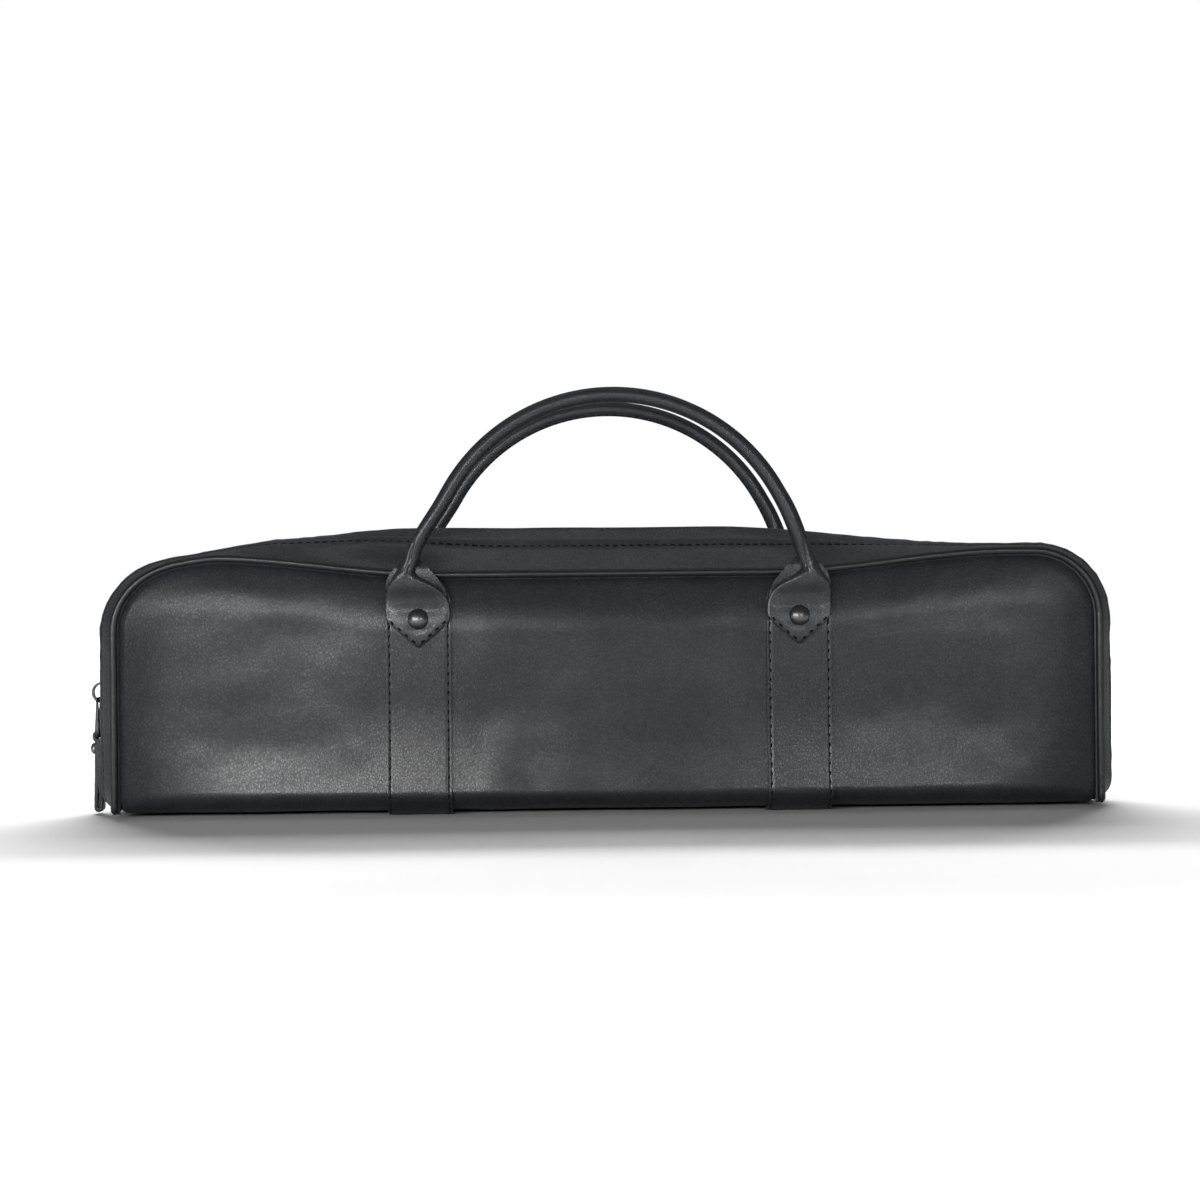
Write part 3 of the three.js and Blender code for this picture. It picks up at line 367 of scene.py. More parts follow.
def rim_wear(rows, columns):
    """Wear of a slab's points: full on the border, half beside it."""
    wear = []
    for i in range(rows):
        for j in range(columns):
            near = min(i, j, rows - 1 - i, columns - 1 - j)
            wear.append({0: 1.0, 1: NEXT_TO_RIM_WEAR}.get(near, 0.0))
    return wear + wear


def soften_edges(piece, width, sharpest=50):
    edge = piece.modifiers.new("rounded_edge", "BEVEL")
    edge.width = width * MM
    edge.segments = 3
    edge.limit_method = "ANGLE"
    edge.angle_limit = math.radians(sharpest)
    edge.harden_normals = False


GRAIN = dict(stray=420, shift=0.0009, stretch=(1, 1, 0.6), crease=0.32, small=2.3,
             small_share=0.4, pores=5200, pore_share=0.08, cloud=34, spots=160, spot_share=0.6,
             cloud_low=0.62, cloud_high=0.98, rub=700)


def noise_texture(nodes, links, scale, detail=2, place=None):
    """A noise over the piece, by the place on it."""
    if place is None:
        place = nodes.new("ShaderNodeTexCoord").outputs["Object"]
    texture = nodes.new("ShaderNodeTexNoise")
    texture.inputs["Scale"].default_value = scale
    texture.inputs["Detail"].default_value = detail
    links.new(place, texture.inputs["Vector"])
    return texture


def grain_group():
    """Leather grain: rounded pebbles with fine creases between them, and cloudy dye."""
    group = bpy.data.node_groups.new("leather_grain", "ShaderNodeTree")
    for way, names in (("INPUT", ("Pebbles Per Metre", "Worn")),
                       ("OUTPUT", ("Height", "Crease", "Cloud", "Rubbed"))):
        for name in names:
            group.interface.new_socket(name, in_out=way, socket_type="NodeSocketFloat")
    nodes, links = group.nodes, group.links
    given = nodes.new("NodeGroupInput")
    result = nodes.new("NodeGroupOutput")
    place = nodes.new("ShaderNodeTexCoord").outputs["Object"]

    def noise_at(scale, detail):
        return noise_texture(nodes, links, scale, detail, place)

    shift = nodes.new("ShaderNodeVectorMath")
    shift.operation = "MULTIPLY_ADD"
    links.new(noise_at(GRAIN["stray"], 2).outputs["Color"], shift.inputs[0])
    shift.inputs[1].default_value = (GRAIN["shift"],) * 3
    links.new(place, shift.inputs[2])
    drawn = nodes.new("ShaderNodeVectorMath")
    drawn.operation = "MULTIPLY"
    links.new(shift.outputs[0], drawn.inputs[0])
    drawn.inputs[1].default_value = GRAIN["stretch"]

    def cells(times):
        texture = nodes.new("ShaderNodeTexVoronoi")
        texture.feature = "DISTANCE_TO_EDGE"
        links.new(drawn.outputs[0], texture.inputs["Vector"])
        links.new(figure(nodes, links, "MULTIPLY", given.outputs["Pebbles Per Metre"], times),
                  texture.inputs["Scale"])
        rise = nodes.new("ShaderNodeMapRange")
        rise.interpolation_type = "SMOOTHERSTEP"
        rise.inputs["From Max"].default_value = GRAIN["crease"]
        links.new(texture.outputs["Distance"], rise.inputs["Value"])
        return rise.outputs["Result"]

    large, small = cells(1.0), cells(GRAIN["small"])
    pores = noise_at(GRAIN["pores"], 2).outputs["Fac"]
    height = scaled(nodes, links, small, GRAIN["small_share"], large)
    height = scaled(nodes, links, pores, GRAIN["pore_share"], height)
    links.new(height, result.inputs["Height"])
    links.new(figure(nodes, links, "SUBTRACT", 1, large), result.inputs["Crease"])
    cloud = scaled(nodes, links, noise_at(GRAIN["spots"], 3).outputs["Fac"],
                   GRAIN["spot_share"], noise_at(GRAIN["cloud"], 4).outputs["Fac"])
    spread = nodes.new("ShaderNodeMapRange")
    spread.inputs["From Min"].default_value = GRAIN["cloud_low"]
    spread.inputs["From Max"].default_value = GRAIN["cloud_high"]
    links.new(cloud, spread.inputs["Value"])
    links.new(spread.outputs["Result"], result.inputs["Cloud"])
    links.new(figure(nodes, links, "MULTIPLY", given.outputs["Worn"],
                     noise_at(GRAIN["rub"], 3).outputs["Fac"]), result.inputs["Rubbed"])
    return group


leather_grain = grain_group()


def new_finish(name):
    """A material with its nodes, its links and its surface."""
    finish = bpy.data.materials.new(name)
    finish.use_nodes = True
    nodes, links = finish.node_tree.nodes, finish.node_tree.links
    return finish, nodes, links, nodes["Principled BSDF"]


def emboss(nodes, links, surface, height, relief):
    """Relief on a surface, in millimetres."""
    bump = nodes.new("ShaderNodeBump")
    bump.inputs["Distance"].default_value = relief * MM
    bump.inputs["Strength"].default_value = 1
    links.new(height, bump.inputs["Height"])
    links.new(bump.outputs["Normal"], surface.inputs["Normal"])


# shades of the dye, as factors of its colour; painted shade darkening the grain's creases; and
# what creases and the rim take off the polish
CLOUD_SHADES, CREASE_PAINTED_SHADE, WORN_SHADE = (0.8, 1.25), 0.35, 2.6
CREASE_SHADE_SHARE = 0.5
CREASE_DULL, CREASE_ROUGH = 0.55, 0.16
RIM_DULL, RIM_ROUGH = 0.7, 0.12
COAT_ROUGHNESS = 0.24


def dyed_leather(name, colour, pebble=PEBBLE, relief=0.2, matt=0.38, shine=0.25, coat=0.9):
    """A dyed leather: its colour, its pebbles' size and relief in millimetres, and its polish."""
    finish, nodes, links, surface = new_finish(name)
    surface.inputs["Specular IOR Level"].default_value = shine
    surface.inputs["Coat Roughness"].default_value = COAT_ROUGHNESS
    grain = nodes.new("ShaderNodeGroup")
    grain.node_tree = leather_grain
    grain.inputs["Pebbles Per Metre"].default_value = 1 / (pebble * MM)
    worn = nodes.new("ShaderNodeAttribute")
    worn.attribute_name = "wear"
    links.new(worn.outputs["Fac"], grain.inputs["Worn"])

    def blend(first, second, share, mode="MIX"):
        node = nodes.new("ShaderNodeMix")
        node.data_type = "RGBA"
        node.blend_type = mode
        links.new(share, node.inputs["Factor"])
        for value, socket in ((first, node.inputs[6]), (second, node.inputs[7])):
            if isinstance(value, tuple):
                socket.default_value = value
            else:
                links.new(value, socket)
        return node.outputs[2]

    def times(factor):
        return tuple(c * factor for c in colour[:3]) + (1,)

    dark, light = [times(shade) for shade in CLOUD_SHADES]
    clouded = blend(dark, light, grain.outputs["Cloud"])
    # painted shade: the colour is darkened in the grain's creases, where shade falls
    crease_shaded = blend(clouded, times(CREASE_PAINTED_SHADE),
                    scaled(nodes, links, grain.outputs["Crease"], CREASE_SHADE_SHARE))
    rubbed = blend(crease_shaded, times(WORN_SHADE), grain.outputs["Rubbed"])
    links.new(rubbed, surface.inputs["Base Color"])
    dull = nodes.new("ShaderNodeAttribute")
    dull.attribute_name = "unpolished"
    polish = scaled(nodes, links, grain.outputs["Crease"], -CREASE_DULL * coat, coat)
    dulled = scaled(nodes, links, dull.outputs["Fac"], -RIM_DULL, 1)
    links.new(figure(nodes, links, "MULTIPLY", polish, dulled), surface.inputs["Coat Weight"])
    rough = scaled(nodes, links, grain.outputs["Crease"], CREASE_ROUGH, matt)
    links.new(figure(nodes, links, "MULTIPLY_ADD", dull.outputs["Fac"], RIM_ROUGH, rough),
              surface.inputs["Roughness"])
    emboss(nodes, links, surface, grain.outputs["Height"], relief)
    return finish


body_leather = dyed_leather("body_leather", HIDE_COLOUR)


def rim_columns(turns, steps, inset=0):
    """Places along the bag with the height of a piece's top edge there, corners included."""
    corner = PANEL_HALF - PANEL_CORNER
    radius = PANEL_CORNER - inset
    right = []
    for k in range(turns):
        angle = math.pi / 2 * k / turns
        right.append((corner + radius * math.cos(angle),
                      PANEL_TOP - PANEL_CORNER + radius * math.sin(angle)))
    for k in range(steps):
        x = corner * (1 - k / steps)
        right.append((x, panel_top(x) - inset))
    return [(-x, top) for x, top in right] + [(0, panel_top(0) - inset)] + right[::-1]


RIM_DROPS = [0, 0.25, 0.6, 1.1, 1.8, 2.6, 3.6]
FACE_STEPS = 44
FOLD_STEPS = 8
SOLE_STEPS = 8


def half_profile(x, top, half, depth, face):
    """Points down a face, round the fold and under the bottom to the middle, at some depth."""
    heights = [top - drop for drop in RIM_DROPS]
    heights += [mix(top - RIM_DROPS[-1], FOLD_CENTRE, k / FACE_STEPS)
                for k in range(1, FACE_STEPS + 1)]
    points = [(x, half * (face(x, z) - depth(x, z)), z) for z in heights]
    inner = depth(x, FOLD_CENTRE)
    bulge = face(x, FOLD_CENTRE) - SEAM_HALF
    flat = SEAM_HALF - FOLD_RADIUS
    radius = FOLD_RADIUS - inner
    for k in range(1, FOLD_STEPS + 1):
        angle = math.pi / 2 * (1 - k / FOLD_STEPS)
        out = flat + radius * math.sin(angle) + bulge * math.sin(angle) ** 2
        points.append((x, half * out, FOLD_CENTRE - radius * math.cos(angle)))
    under = FOLD_CENTRE - FOLD_RADIUS + inner
    for k in range(1, SOLE_STEPS):
        points.append((x, half * flat * (1 - k / SOLE_STEPS), under))
    return points


def whole_profile(x, top, depth, face):
    front = half_profile(x, top, FRONT, lambda a, b: depth(a, b, FRONT), face)
    back = half_profile(x, top, BACK, lambda a, b: depth(a, b, BACK), face)
    under = front[-1][2]
    return front + [(x, 0.0, under)] + back[::-1]


def hide_depth(x, z, half, extra=0.0):
    return rolled_in(rim_distance(x, z), RIM_ROLL, RIM_DROP) - slack(x, z, half) + extra


def flesh_depth(x, z, half):
    """Where the hide's inner side lies; its turned rim is pared thinner."""
    thick = HIDE_THICKNESS if rim_distance(x, z) > RIM_ROLL else RIM_THICKNESS
    return hide_depth(x, z, half, thick)


def cut_body_hide():
    columns = rim_columns(18, 74)
    outer = [whole_profile(x, top, hide_depth, hide_face) for x, top in columns]
    inner = [whole_profile(x, top, flesh_depth, hide_face) for x, top in columns]
    points, faces = slab(outer, inner)
    unpolished = [ease(*UNPOLISHED_RIM, rim_distance(x, z)) for x, _, z in points]
    hide = cut_piece("body_hide", points, faces, body_leather,
                     wear=rim_wear(len(outer), len(outer[0])), unpolished=unpolished)
    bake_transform(hide)
    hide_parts("front_panel", "back_panel")


cut_body_hide()

# Gussets: two strips of softer hide from the welts up to the zip. Each is topstitched along the
# zip tape; between that row and the zip the leather is gathered a little over the teeth.
SEAM_LINE = dict(half=205.85, top=107.95, radius=27.85, lift=-7.8, flat=68, reach=168, tuck=0)
ZIP_LINE = dict(half=215, top=111.5, radius=32, lift=8.8, flat=45, reach=160, tuck=8.2)
BASE_LIFT = 1.9
FOOT_STEPS = 8
STRAIGHT_FROM = 15
TUCK_POWER = 3.74
GUSSET_EDGE = 28.4
ZIP_SLOT = 5.8
TOPSTITCH_AT = 14.4
GUSSET_THICKNESS = 1.3
GATHER_RISE, GATHER_WRINKLE = 0.4, 0.3
STITCH_GROOVE, GROOVE_HALF = 0.6, 0.75
GUSSET_WAVE = 0.3
TOPSTITCH_PITCH = 3.5
TURN_REACH, TURN_DROP = 0.8, 0.35
ROW_DEPTH = 0.6
ACROSS_GUSSET = [ZIP_SLOT, 6.1, 6.6, 7.4, 8.4, 9.6, 10.8, 12, 12.9, 13.6, 14, 14.4, 14.8, 15.2,
                 16, 17.3, 18.8, 20.4, 22, 23.4, 24.6, 25.6, 26.6, 27.4, 28, GUSSET_EDGE]
# painted light: the gusset is coloured lighter than the hide, standing in for light from above on
# the top
GUSSET_LIT_COLOUR = (0.036, 0.0396, 0.0455, 1)


def arch_line(line, foot_steps=FOOT_STEPS, straight_steps=24, corner_steps=18, top_steps=60):
    """Points of the seam or the zip from the left foot over the top to the right foot."""
    corner_x, corner_z = line["half"] - line["radius"], line["top"] - line["radius"]
    half = []
    for k in range(foot_steps):
        share = k / foot_steps
        z = mix(BASE_LIFT, STRAIGHT_FROM, share)
        half.append((line["half"] - line["tuck"] * (1 - share) ** TUCK_POWER, z, 1.0))
    for k in range(straight_steps):
        half.append((line["half"], mix(STRAIGHT_FROM, corner_z, k / straight_steps), 1.0))
    for k in range(corner_steps):
        angle = math.pi / 2 * k / corner_steps
        half.append((corner_x + line["radius"] * math.cos(angle),
                     corner_z + line["radius"] * math.sin(angle), 1.0))
    for k in range(top_steps + 1):
        x = corner_x * (1 - k / top_steps)
        rise = hump(line, x)
        half.append((x, line["top"] + line["lift"] * rise, 1 - rise))
    whole = [(-x, z, swell) for x, z, swell in half] + half[-2::-1]
    stations, length = [], 0.0
    for k, (x, z, swell) in enumerate(whole):
        before, after = whole[max(k - 1, 0)], whole[min(k + 1, len(whole) - 1)]
        span = math.hypot(after[0] - before[0], after[1] - before[1])
        length += math.hypot(x - before[0], z - before[1])
        stations.append(dict(x=x, z=z, swell=swell, nx=(before[1] - after[1]) / span,
                             nz=(after[0] - before[0]) / span, length=length))
    return stations


seam_stations = arch_line(SEAM_LINE)
zip_stations = arch_line(ZIP_LINE)


def gusset_point(k, y, depth, half):
    seam, zip_ = seam_stations[k], zip_stations[k]
    across = clamp((GUSSET_EDGE - y) / (GUSSET_EDGE - ZIP_SLOT))
    share = mix(across, math.sin(across * math.pi / 2), zip_["swell"])
    nx, nz = mix(seam["nx"], zip_["nx"], share), mix(seam["nz"], zip_["nz"], share)
    span = math.hypot(nx, nz)
    x = mix(seam["x"], zip_["x"], share) - depth * nx / span
    return (x, half * y, mix(seam["z"], zip_["z"], share) - depth * nz / span)


def gusset_depth(k, y, half):
    """Relief of the strip: gathered beside the zip, pressed in at the stitches and the welt."""
    length = zip_stations[k]["length"]
    band = ease(TOPSTITCH_AT, TOPSTITCH_AT - 2.5, y) * ease(ZIP_SLOT, ZIP_SLOT + 1.5, y)
    gather = noise.noise(Vector((length / 2.1, y / 9, 4.2 * half)))
    gather += 0.7 * noise.noise(Vector((length / 5.5, y / 4, 9.2 * half)))
    groove = math.exp(-((y - TOPSTITCH_AT) / GROOVE_HALF) ** 2)
    wavy = noise.noise(Vector((length / 34, y / 14, 6.1 * half)))
    pucker = noise.noise(Vector((length / 3.4, 0.5, 2.2 * half)))
    seam = rolled_in(GUSSET_EDGE - y, 3.2, 1.0)
    return (seam + STITCH_GROOVE * groove * (1 + 0.3 * pucker)
            - band * (GATHER_RISE + GATHER_WRINKLE * gather)
            - GUSSET_WAVE * wavy * ease(GUSSET_EDGE, GUSSET_EDGE - 5, y))


# painted light: this leather's lighter colour stands in for overhead light on the gusset's top
# band
gusset_leather_lit = dyed_leather("gusset_leather_lit", GUSSET_LIT_COLOUR, pebble=0.9, relief=0.1, matt=0.4,
                              shine=0.4, coat=0.7)


def two_tone(nodes, links, surface, value, dark, light, low=0.0, high=1.0):
    """Colours a surface between two tones."""
    shade = nodes.new("ShaderNodeValToRGB")
    for mark, position, colour in zip(shade.color_ramp.elements, (low, high), (dark, light)):
        mark.position = position
        mark.color = colour
    links.new(value, shade.inputs["Fac"])
    links.new(shade.outputs["Color"], surface.inputs["Base Color"])


def waxed_thread():
    thread, nodes, links, surface = new_finish("waxed_thread")
    surface.inputs["Specular IOR Level"].default_value = 0.12
    twist = noise_texture(nodes, links, 2600).outputs["Fac"]
    two_tone(nodes, links, surface, twist, (0.0015, 0.0015, 0.002, 1), (0.006, 0.006, 0.007, 1))
    links.new(scaled(nodes, links, twist, 0.3, 0.45), surface.inputs["Roughness"])
    emboss(nodes, links, surface, twist, 0.05)
    return thread


black_thread = waxed_thread()


# share of half the length, and thickness in radii
STITCH_STATIONS = [(-0.88, 0.5), (-0.5, 0.95), (0, 1.05), (0.5, 0.95), (0.88, 0.5)]
STITCH_SIDES = 6


def tube_faces(count, sides, first=0, capped=True):
    """Faces of a tube of rings with so many sides, from its first point on."""
    faces = []
    for k in range(count - 1):
        for n in range(sides):
            a, b = first + k * sides + n, first + k * sides + (n + 1) % sides
            faces.append((a, b, b + sides, a + sides))
    if capped:
        last = first + (count - 1) * sides
        faces += [tuple(range(first, first + sides)), tuple(range(last, last + sides))]
    return faces


def sew(name, places, length=2.3, radius=0.3, lift=0.16, slant=0.12):
    """Stitches: for each a place on the leather, the way along the seam and the way out of it."""
    points, faces = [], []
    sides = STITCH_SIDES
    for place, along, out in places:
        along, out = Vector(along).normalized(), Vector(out).normalized()
        side = along.cross(out).normalized()
        first = len(points)
        for share, thick in STITCH_STATIONS:
            middle = (Vector(place) + along * share * length / 2 + side * slant * share
                      + out * lift * (1 - 2.2 * share * share))
            for n in range(sides):
                angle = 2 * math.pi * n / sides
                points.append(middle + (side * math.cos(angle) + out * math.sin(angle))
                              * radius * thick)
        for share in (-1, 1):
            points.append(Vector(place) + along * share * length / 2 + side * slant * share
                          - out * lift * 1.3)
        faces += tube_faces(len(STITCH_STATIONS), sides, first, capped=False)
        low = first + sides * len(STITCH_STATIONS)
        last = low - sides
        for n in range(sides):
            faces.append((first + (n + 1) % sides, first + n, low))
            faces.append((last + n, last + (n + 1) % sides, low + 1))
    return cut_piece(name, points, faces, black_thread)


def along_line(points, pitch, inset=0.0):
    """Places evenly spaced along a line of points, each with the direction there."""
    lengths = [0.0]
    for a, b in zip(points, points[1:]):
        lengths.append(lengths[-1] + (Vector(b) - Vector(a)).length)
    count = int((lengths[-1] - 2 * inset) / pitch)
    start = (lengths[-1] - count * pitch) / 2
    places, k = [], 0
    for n in range(count + 1):
        goal = start + n * pitch
        while k < len(points) - 2 and lengths[k + 1] < goal:
            k += 1
        share = clamp((goal - lengths[k]) / max(lengths[k + 1] - lengths[k], 1e-6))
        a, b = Vector(points[k]), Vector(points[k + 1])
        places.append((a.lerp(b, share), (b - a).normalized(), k))
    return places


def cut_gusset(half):
    name = HALF_NAME[half]
    turned = [rolled_in(y - ZIP_SLOT, TURN_REACH, TURN_DROP) for y in ACROSS_GUSSET]

    def layer(depth):
        return [[gusset_point(k, y, gusset_depth(k, y, half) + turned[n] + depth, half)
                 for n, y in enumerate(ACROSS_GUSSET)] for k in range(len(zip_stations))]

    points, faces = slab(layer(0.05), layer(GUSSET_THICKNESS))
    strip = cut_piece(f"{name}_gusset_strip", points, faces, gusset_leather_lit,
                      wear=rim_wear(len(zip_stations), len(ACROSS_GUSSET)))
    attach(strip, f"{name}_half")
    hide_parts(f"{name}_gusset")
    row = [gusset_point(k, TOPSTITCH_AT, ROW_DEPTH, half) for k in range(len(zip_stations))]
    places = []
    for place, along, k in along_line(row, TOPSTITCH_PITCH, 2):
        edge = Vector(gusset_point(k, TOPSTITCH_AT, 1.4, half))
        beside = Vector(gusset_point(k, TOPSTITCH_AT + 1, ROW_DEPTH, half)) - Vector(row[k])
        out = along.cross(beside)
        if out.dot(place - edge) < 0:
            out = -out
        places.append((place, along, out))
    thread = sew(f"{name}_gusset_stitches", places, length=2.6)
    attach(thread, f"{name}_half")


for half in (FRONT, BACK):
    cut_gusset(half)

# Welts: a rolled strip of the same leather caught in each seam between panel and gusset. The
# needle pulls it in a little at every stitch.
WELT_RADIUS = 1.7
WELT_PLANE = 29.6
FOOT_ROUND = 2.6
WELT_SIDES = 20
WELT_EVEN, WELT_PULL = 0.985, 0.045
# painted shade: the welt is coloured about half as light as the hide, for the shade of the seam
# it sits in
welt_leather_shaded = dyed_leather("welt_leather_shaded", (0.012, 0.0133, 0.0155, 1), pebble=0.9, relief=0.04,
                            matt=0.3)


def roll_welt(half):
    name = HALF_NAME[half]
    points, path = [], []
    for k in range(len(seam_stations) - 1):
        a, b = seam_stations[k], seam_stations[k + 1]
        for share in (0, 0.5):
            path.append({key: mix(a[key], b[key], share) for key in a})
    path.append(seam_stations[-1])
    for station in path:
        foot = min(station["length"], path[-1]["length"] - station["length"])
        short = 1 - clamp((foot + 0.05) / FOOT_ROUND)
        for n in range(WELT_SIDES):
            angle = 2 * math.pi * n / WELT_SIDES
            pull = noise.noise(Vector((station["length"] / 1.9, n / 5, half * 3.3)))
            radius = WELT_RADIUS * (WELT_EVEN + WELT_PULL * pull) * math.sqrt(1 - short * short)
            out = radius * math.cos(angle)
            points.append((station["x"] + station["nx"] * out,
                           half * (WELT_PLANE + radius * math.sin(angle)),
                           station["z"] + station["nz"] * out))
    welt = cut_piece(f"{name}_welt", points, tube_faces(len(path), WELT_SIDES), welt_leather_shaded)
    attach(welt, f"{name}_half")
    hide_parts(f"{name}_piping")


for half in (FRONT, BACK):
    roll_welt(half)

# Straps: two bands of firm leather, each in one length from a pointed arch on the front, under
# the bottom, to the same on the back. They are sewn down along both edges.
STRAP_THICKNESS = 1.6
GAP = 0.3
CROSSING = 98.4
STRAP_WING = 33
WING_LEAN = 0.35
LEAN_FROM = 103.4
STRAP_END = 108.9
END_LENGTH = 20
END_LEAN = 2.6
END_POWER = 0.85
NECK_HEIGHT = 101.5
EDGE_ROW = 12.15
STRAP_PITCH = 3.9
SEWN_UP_TO = 81
ROW_GROOVE, ROW_GROOVE_HALF = 0.26, 0.02
THREAD_SUNK = 0.2
BAG_MIDDLE_HEIGHT = 45
STRAP_SHARES = [1, 0.992, 0.972, 0.945, 0.925, 0.91, 0.895, 0.87, 0.8, 0.71, 0.61, 0.5, 0.4, 0.3,
                0.2, 0.12, 0.05]
strap_leather = dyed_leather("strap_leather", (0.021, 0.0235, 0.028, 1), pebble=0.95, relief=0.13)


def strap_bed(x, z):
    """What the strap lies on: the hide, and higher up the welt that it passes over."""
    lift = ease(CROSSING - 2 * STRAP_HALF / 3, CROSSING - 1.7, z)
    return mix(hide_face(x, z), STRAP_WING, lift) - max(z - LEAN_FROM, 0) * WING_LEAN


def strap_line(end, share, depth):
    """Points of the strap at a share of its half width, from its front end to its back end."""
    turn = math.asin(abs(share)) * 2 / math.pi
    top = STRAP_END - END_LENGTH * turn ** (1 / END_POWER)
    line = whole_profile(end * STRAP_MIDDLE + share * STRAP_HALF, top,
                         lambda *_: depth - GAP, strap_bed)
    return [(x + end * END_LEAN * ease(STRAP_END - END_LENGTH, NECK_HEIGHT, z), y, z)
            for x, y, z in line]


def cut_strap(end):
    shares = [-s for s in STRAP_SHARES] + [0] + STRAP_SHARES[::-1]

    def relief(share):
        off_row = (abs(share) - EDGE_ROW / STRAP_HALF) / ROW_GROOVE_HALF
        return ROW_GROOVE * math.exp(-off_row ** 2)

    outer = [strap_line(end, s, relief(s) - STRAP_THICKNESS) for s in shares]
    inner = [strap_line(end, s, 0.0) for s in shares]
    points, faces = slab(outer, inner)
    strap = cut_piece(f"{END_NAME[end]}_strap", points, faces, strap_leather,
                      wear=rim_wear(len(outer), len(outer[0])))
    soften_edges(strap, 0.45)
    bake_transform(strap)
    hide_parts(f"front_{END_NAME[end]}_strap", f"back_{END_NAME[end]}_strap")


def sew_strap(end):
    places = []
    for share in (-EDGE_ROW / STRAP_HALF, EDGE_ROW / STRAP_HALF):
        line = [p for p in strap_line(end, share, THREAD_SUNK - STRAP_THICKNESS)
                if p[2] < SEWN_UP_TO]
        for place, along, _ in along_line(line, STRAP_PITCH, 1):
            out = Vector((1, 0, 0)).cross(along)
            middle = Vector((place.x, 0, BAG_MIDDLE_HEIGHT))
            if out.dot(place - middle) < 0:
                out = -out
            if place.z > 0.5:
                places.append((place, along, out))
    thread = sew(f"{END_NAME[end]}_strap_stitches", places, length=1.7, radius=0.4, lift=0.1)
    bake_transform(thread)


for end in (LEFT, RIGHT):
    cut_strap(end)
    sew_strap(end)

# Handles: one length of soft leather for each, rolled over a cord and sewn shut on the side that
# faces the other handle. Its two flared ends open out flat as pointed tabs, sewn along their
# points and riveted through strap and panel.
HANDLE_PLANE = 38
NECK_PULL = 1.6
ROLL_RADIUS = 3.15
NECK = (83, 101.5)
HANDLE_TOP = 174
ARCH_RADIUS = 78
ARCH_ANGLE = math.pi / 3
LEG_STEPS, ARCH_STEPS = 30, 36
LEG_FROM = 105.2
NECK_SLOPE = 0.17
TAB_POINT = 70
RIVET_HEIGHT = 81.5
RIVET_RADIUS = 4.25
RING_POINTS = 56
SEAM_TURN = math.radians(202)
ROLL_PITCH = 3.3
LIP_RISE, LIP_AT, LIP_WIDE = 0.16, 0.3, 0.16
LIP_GROOVE, LIP_GROOVE_WIDE = 0.34, 0.12
RIVET_DENT, DENT_WIDE = 0.3, 1.5
TAB_CROWN, CROWN_HALF = 0.9, 13.4
TAB_CREASE = dict(deep=0.7, wide=0.5, at=4.3, lean=0.17, height=98)
TAB_WRINKLE = 0.16
TAB_ROW_IN, TAB_ROW_TOP, TAB_PITCH = 1.6, 81.8, 3.9
# height, inner edge, outer edge, half thickness, squareness
TAB_SECTIONS = [
    (70.0, -0.35, 0.35, 0.45, 2.5), (70.6, -1.2, 1.2, 0.7, 3), (72.5, -3.4, 3.4, 0.95, 4),
    (75.5, -6.9, 6.9, 1.02, 5), (78.5, -10.3, 10.3, 1.06, 6), (80.4, -12.3, 12.3, 1.08, 7),
    (81.6, -13.1, 13.1, 1.1, 8), (83.2, -13.35, 13.35, 1.1, 8), (86.5, -13.2, 13.35, 1.12, 8),
    (88.7, -12.8, 13.3, 1.18, 7), (90.6, -11.9, 13.2, 1.26, 6), (92.2, -10.8, 13.0, 1.36, 5.2),
    (93.6, -9.4, 12.75, 1.5, 4.6), (94.9, -7.8, 12.4, 1.68, 4.1), (96.1, -5.9, 12.0, 1.9, 3.6),
    (97.3, -3.9, 11.5, 2.2, 3.1), (98.4, -2.2, 10.9, 2.48, 2.8), (99.5, -0.6, 10.2, 2.72, 2.5),
    (100.4, 0.55, 9.6, 2.9, 2.3), (101.4, 1.0, 8.95, 3.02, 2.1), (102.6, 0.95, 8.2, 3.1, 2.0),
]
handle_leather = dyed_leather("handle_leather", (0.025, 0.028, 0.0335, 1), pebble=0.9,
                              relief=0.08, matt=0.34)


def cubic(points, share):
    a, b, c, d = points
    keep = 1 - share
    return (a * keep ** 3 + b * (3 * keep * keep * share) + c * (3 * keep * share * share)
            + d * share ** 3)


def arch_point(angle):
    return Vector((ARCH_RADIUS * math.sin(angle),
                   HANDLE_TOP - ARCH_RADIUS + ARCH_RADIUS * math.cos(angle)))


def roll_path():
    """Middle of the roll above the right neck, up to the top of the arch, in X and Z."""
    foot, neck = arch_point(ARCH_ANGLE), Vector(NECK)
    pull = (foot.y - neck.y) / 3
    down = Vector((math.cos(ARCH_ANGLE), -math.sin(ARCH_ANGLE)))
    control = (neck, neck + Vector((-NECK_SLOPE * pull, pull)), foot + down * pull, foot)
    leg = [cubic(control, k / LEG_STEPS) for k in range(LEG_STEPS + 1)]
    arch = [arch_point(ARCH_ANGLE * (1 - k / ARCH_STEPS)) for k in range(1, ARCH_STEPS + 1)]
    return [p for p in leg + arch if p.y > LEG_FROM]


def between(table, z):
    for low, high in zip(table, table[1:]):
        if z <= high[0]:
            share = (z - low[0]) / (high[0] - low[0])
            return [mix(a, b, share) for a, b in zip(low, high)]
    return list(table[-1])


def tab_seat(x, z):
    return strap_bed(x, z) + GAP + STRAP_THICKNESS + GAP


def roll_plane(z):
    return HANDLE_PLANE - NECK_PULL * (1 - ease(103, 124, z))


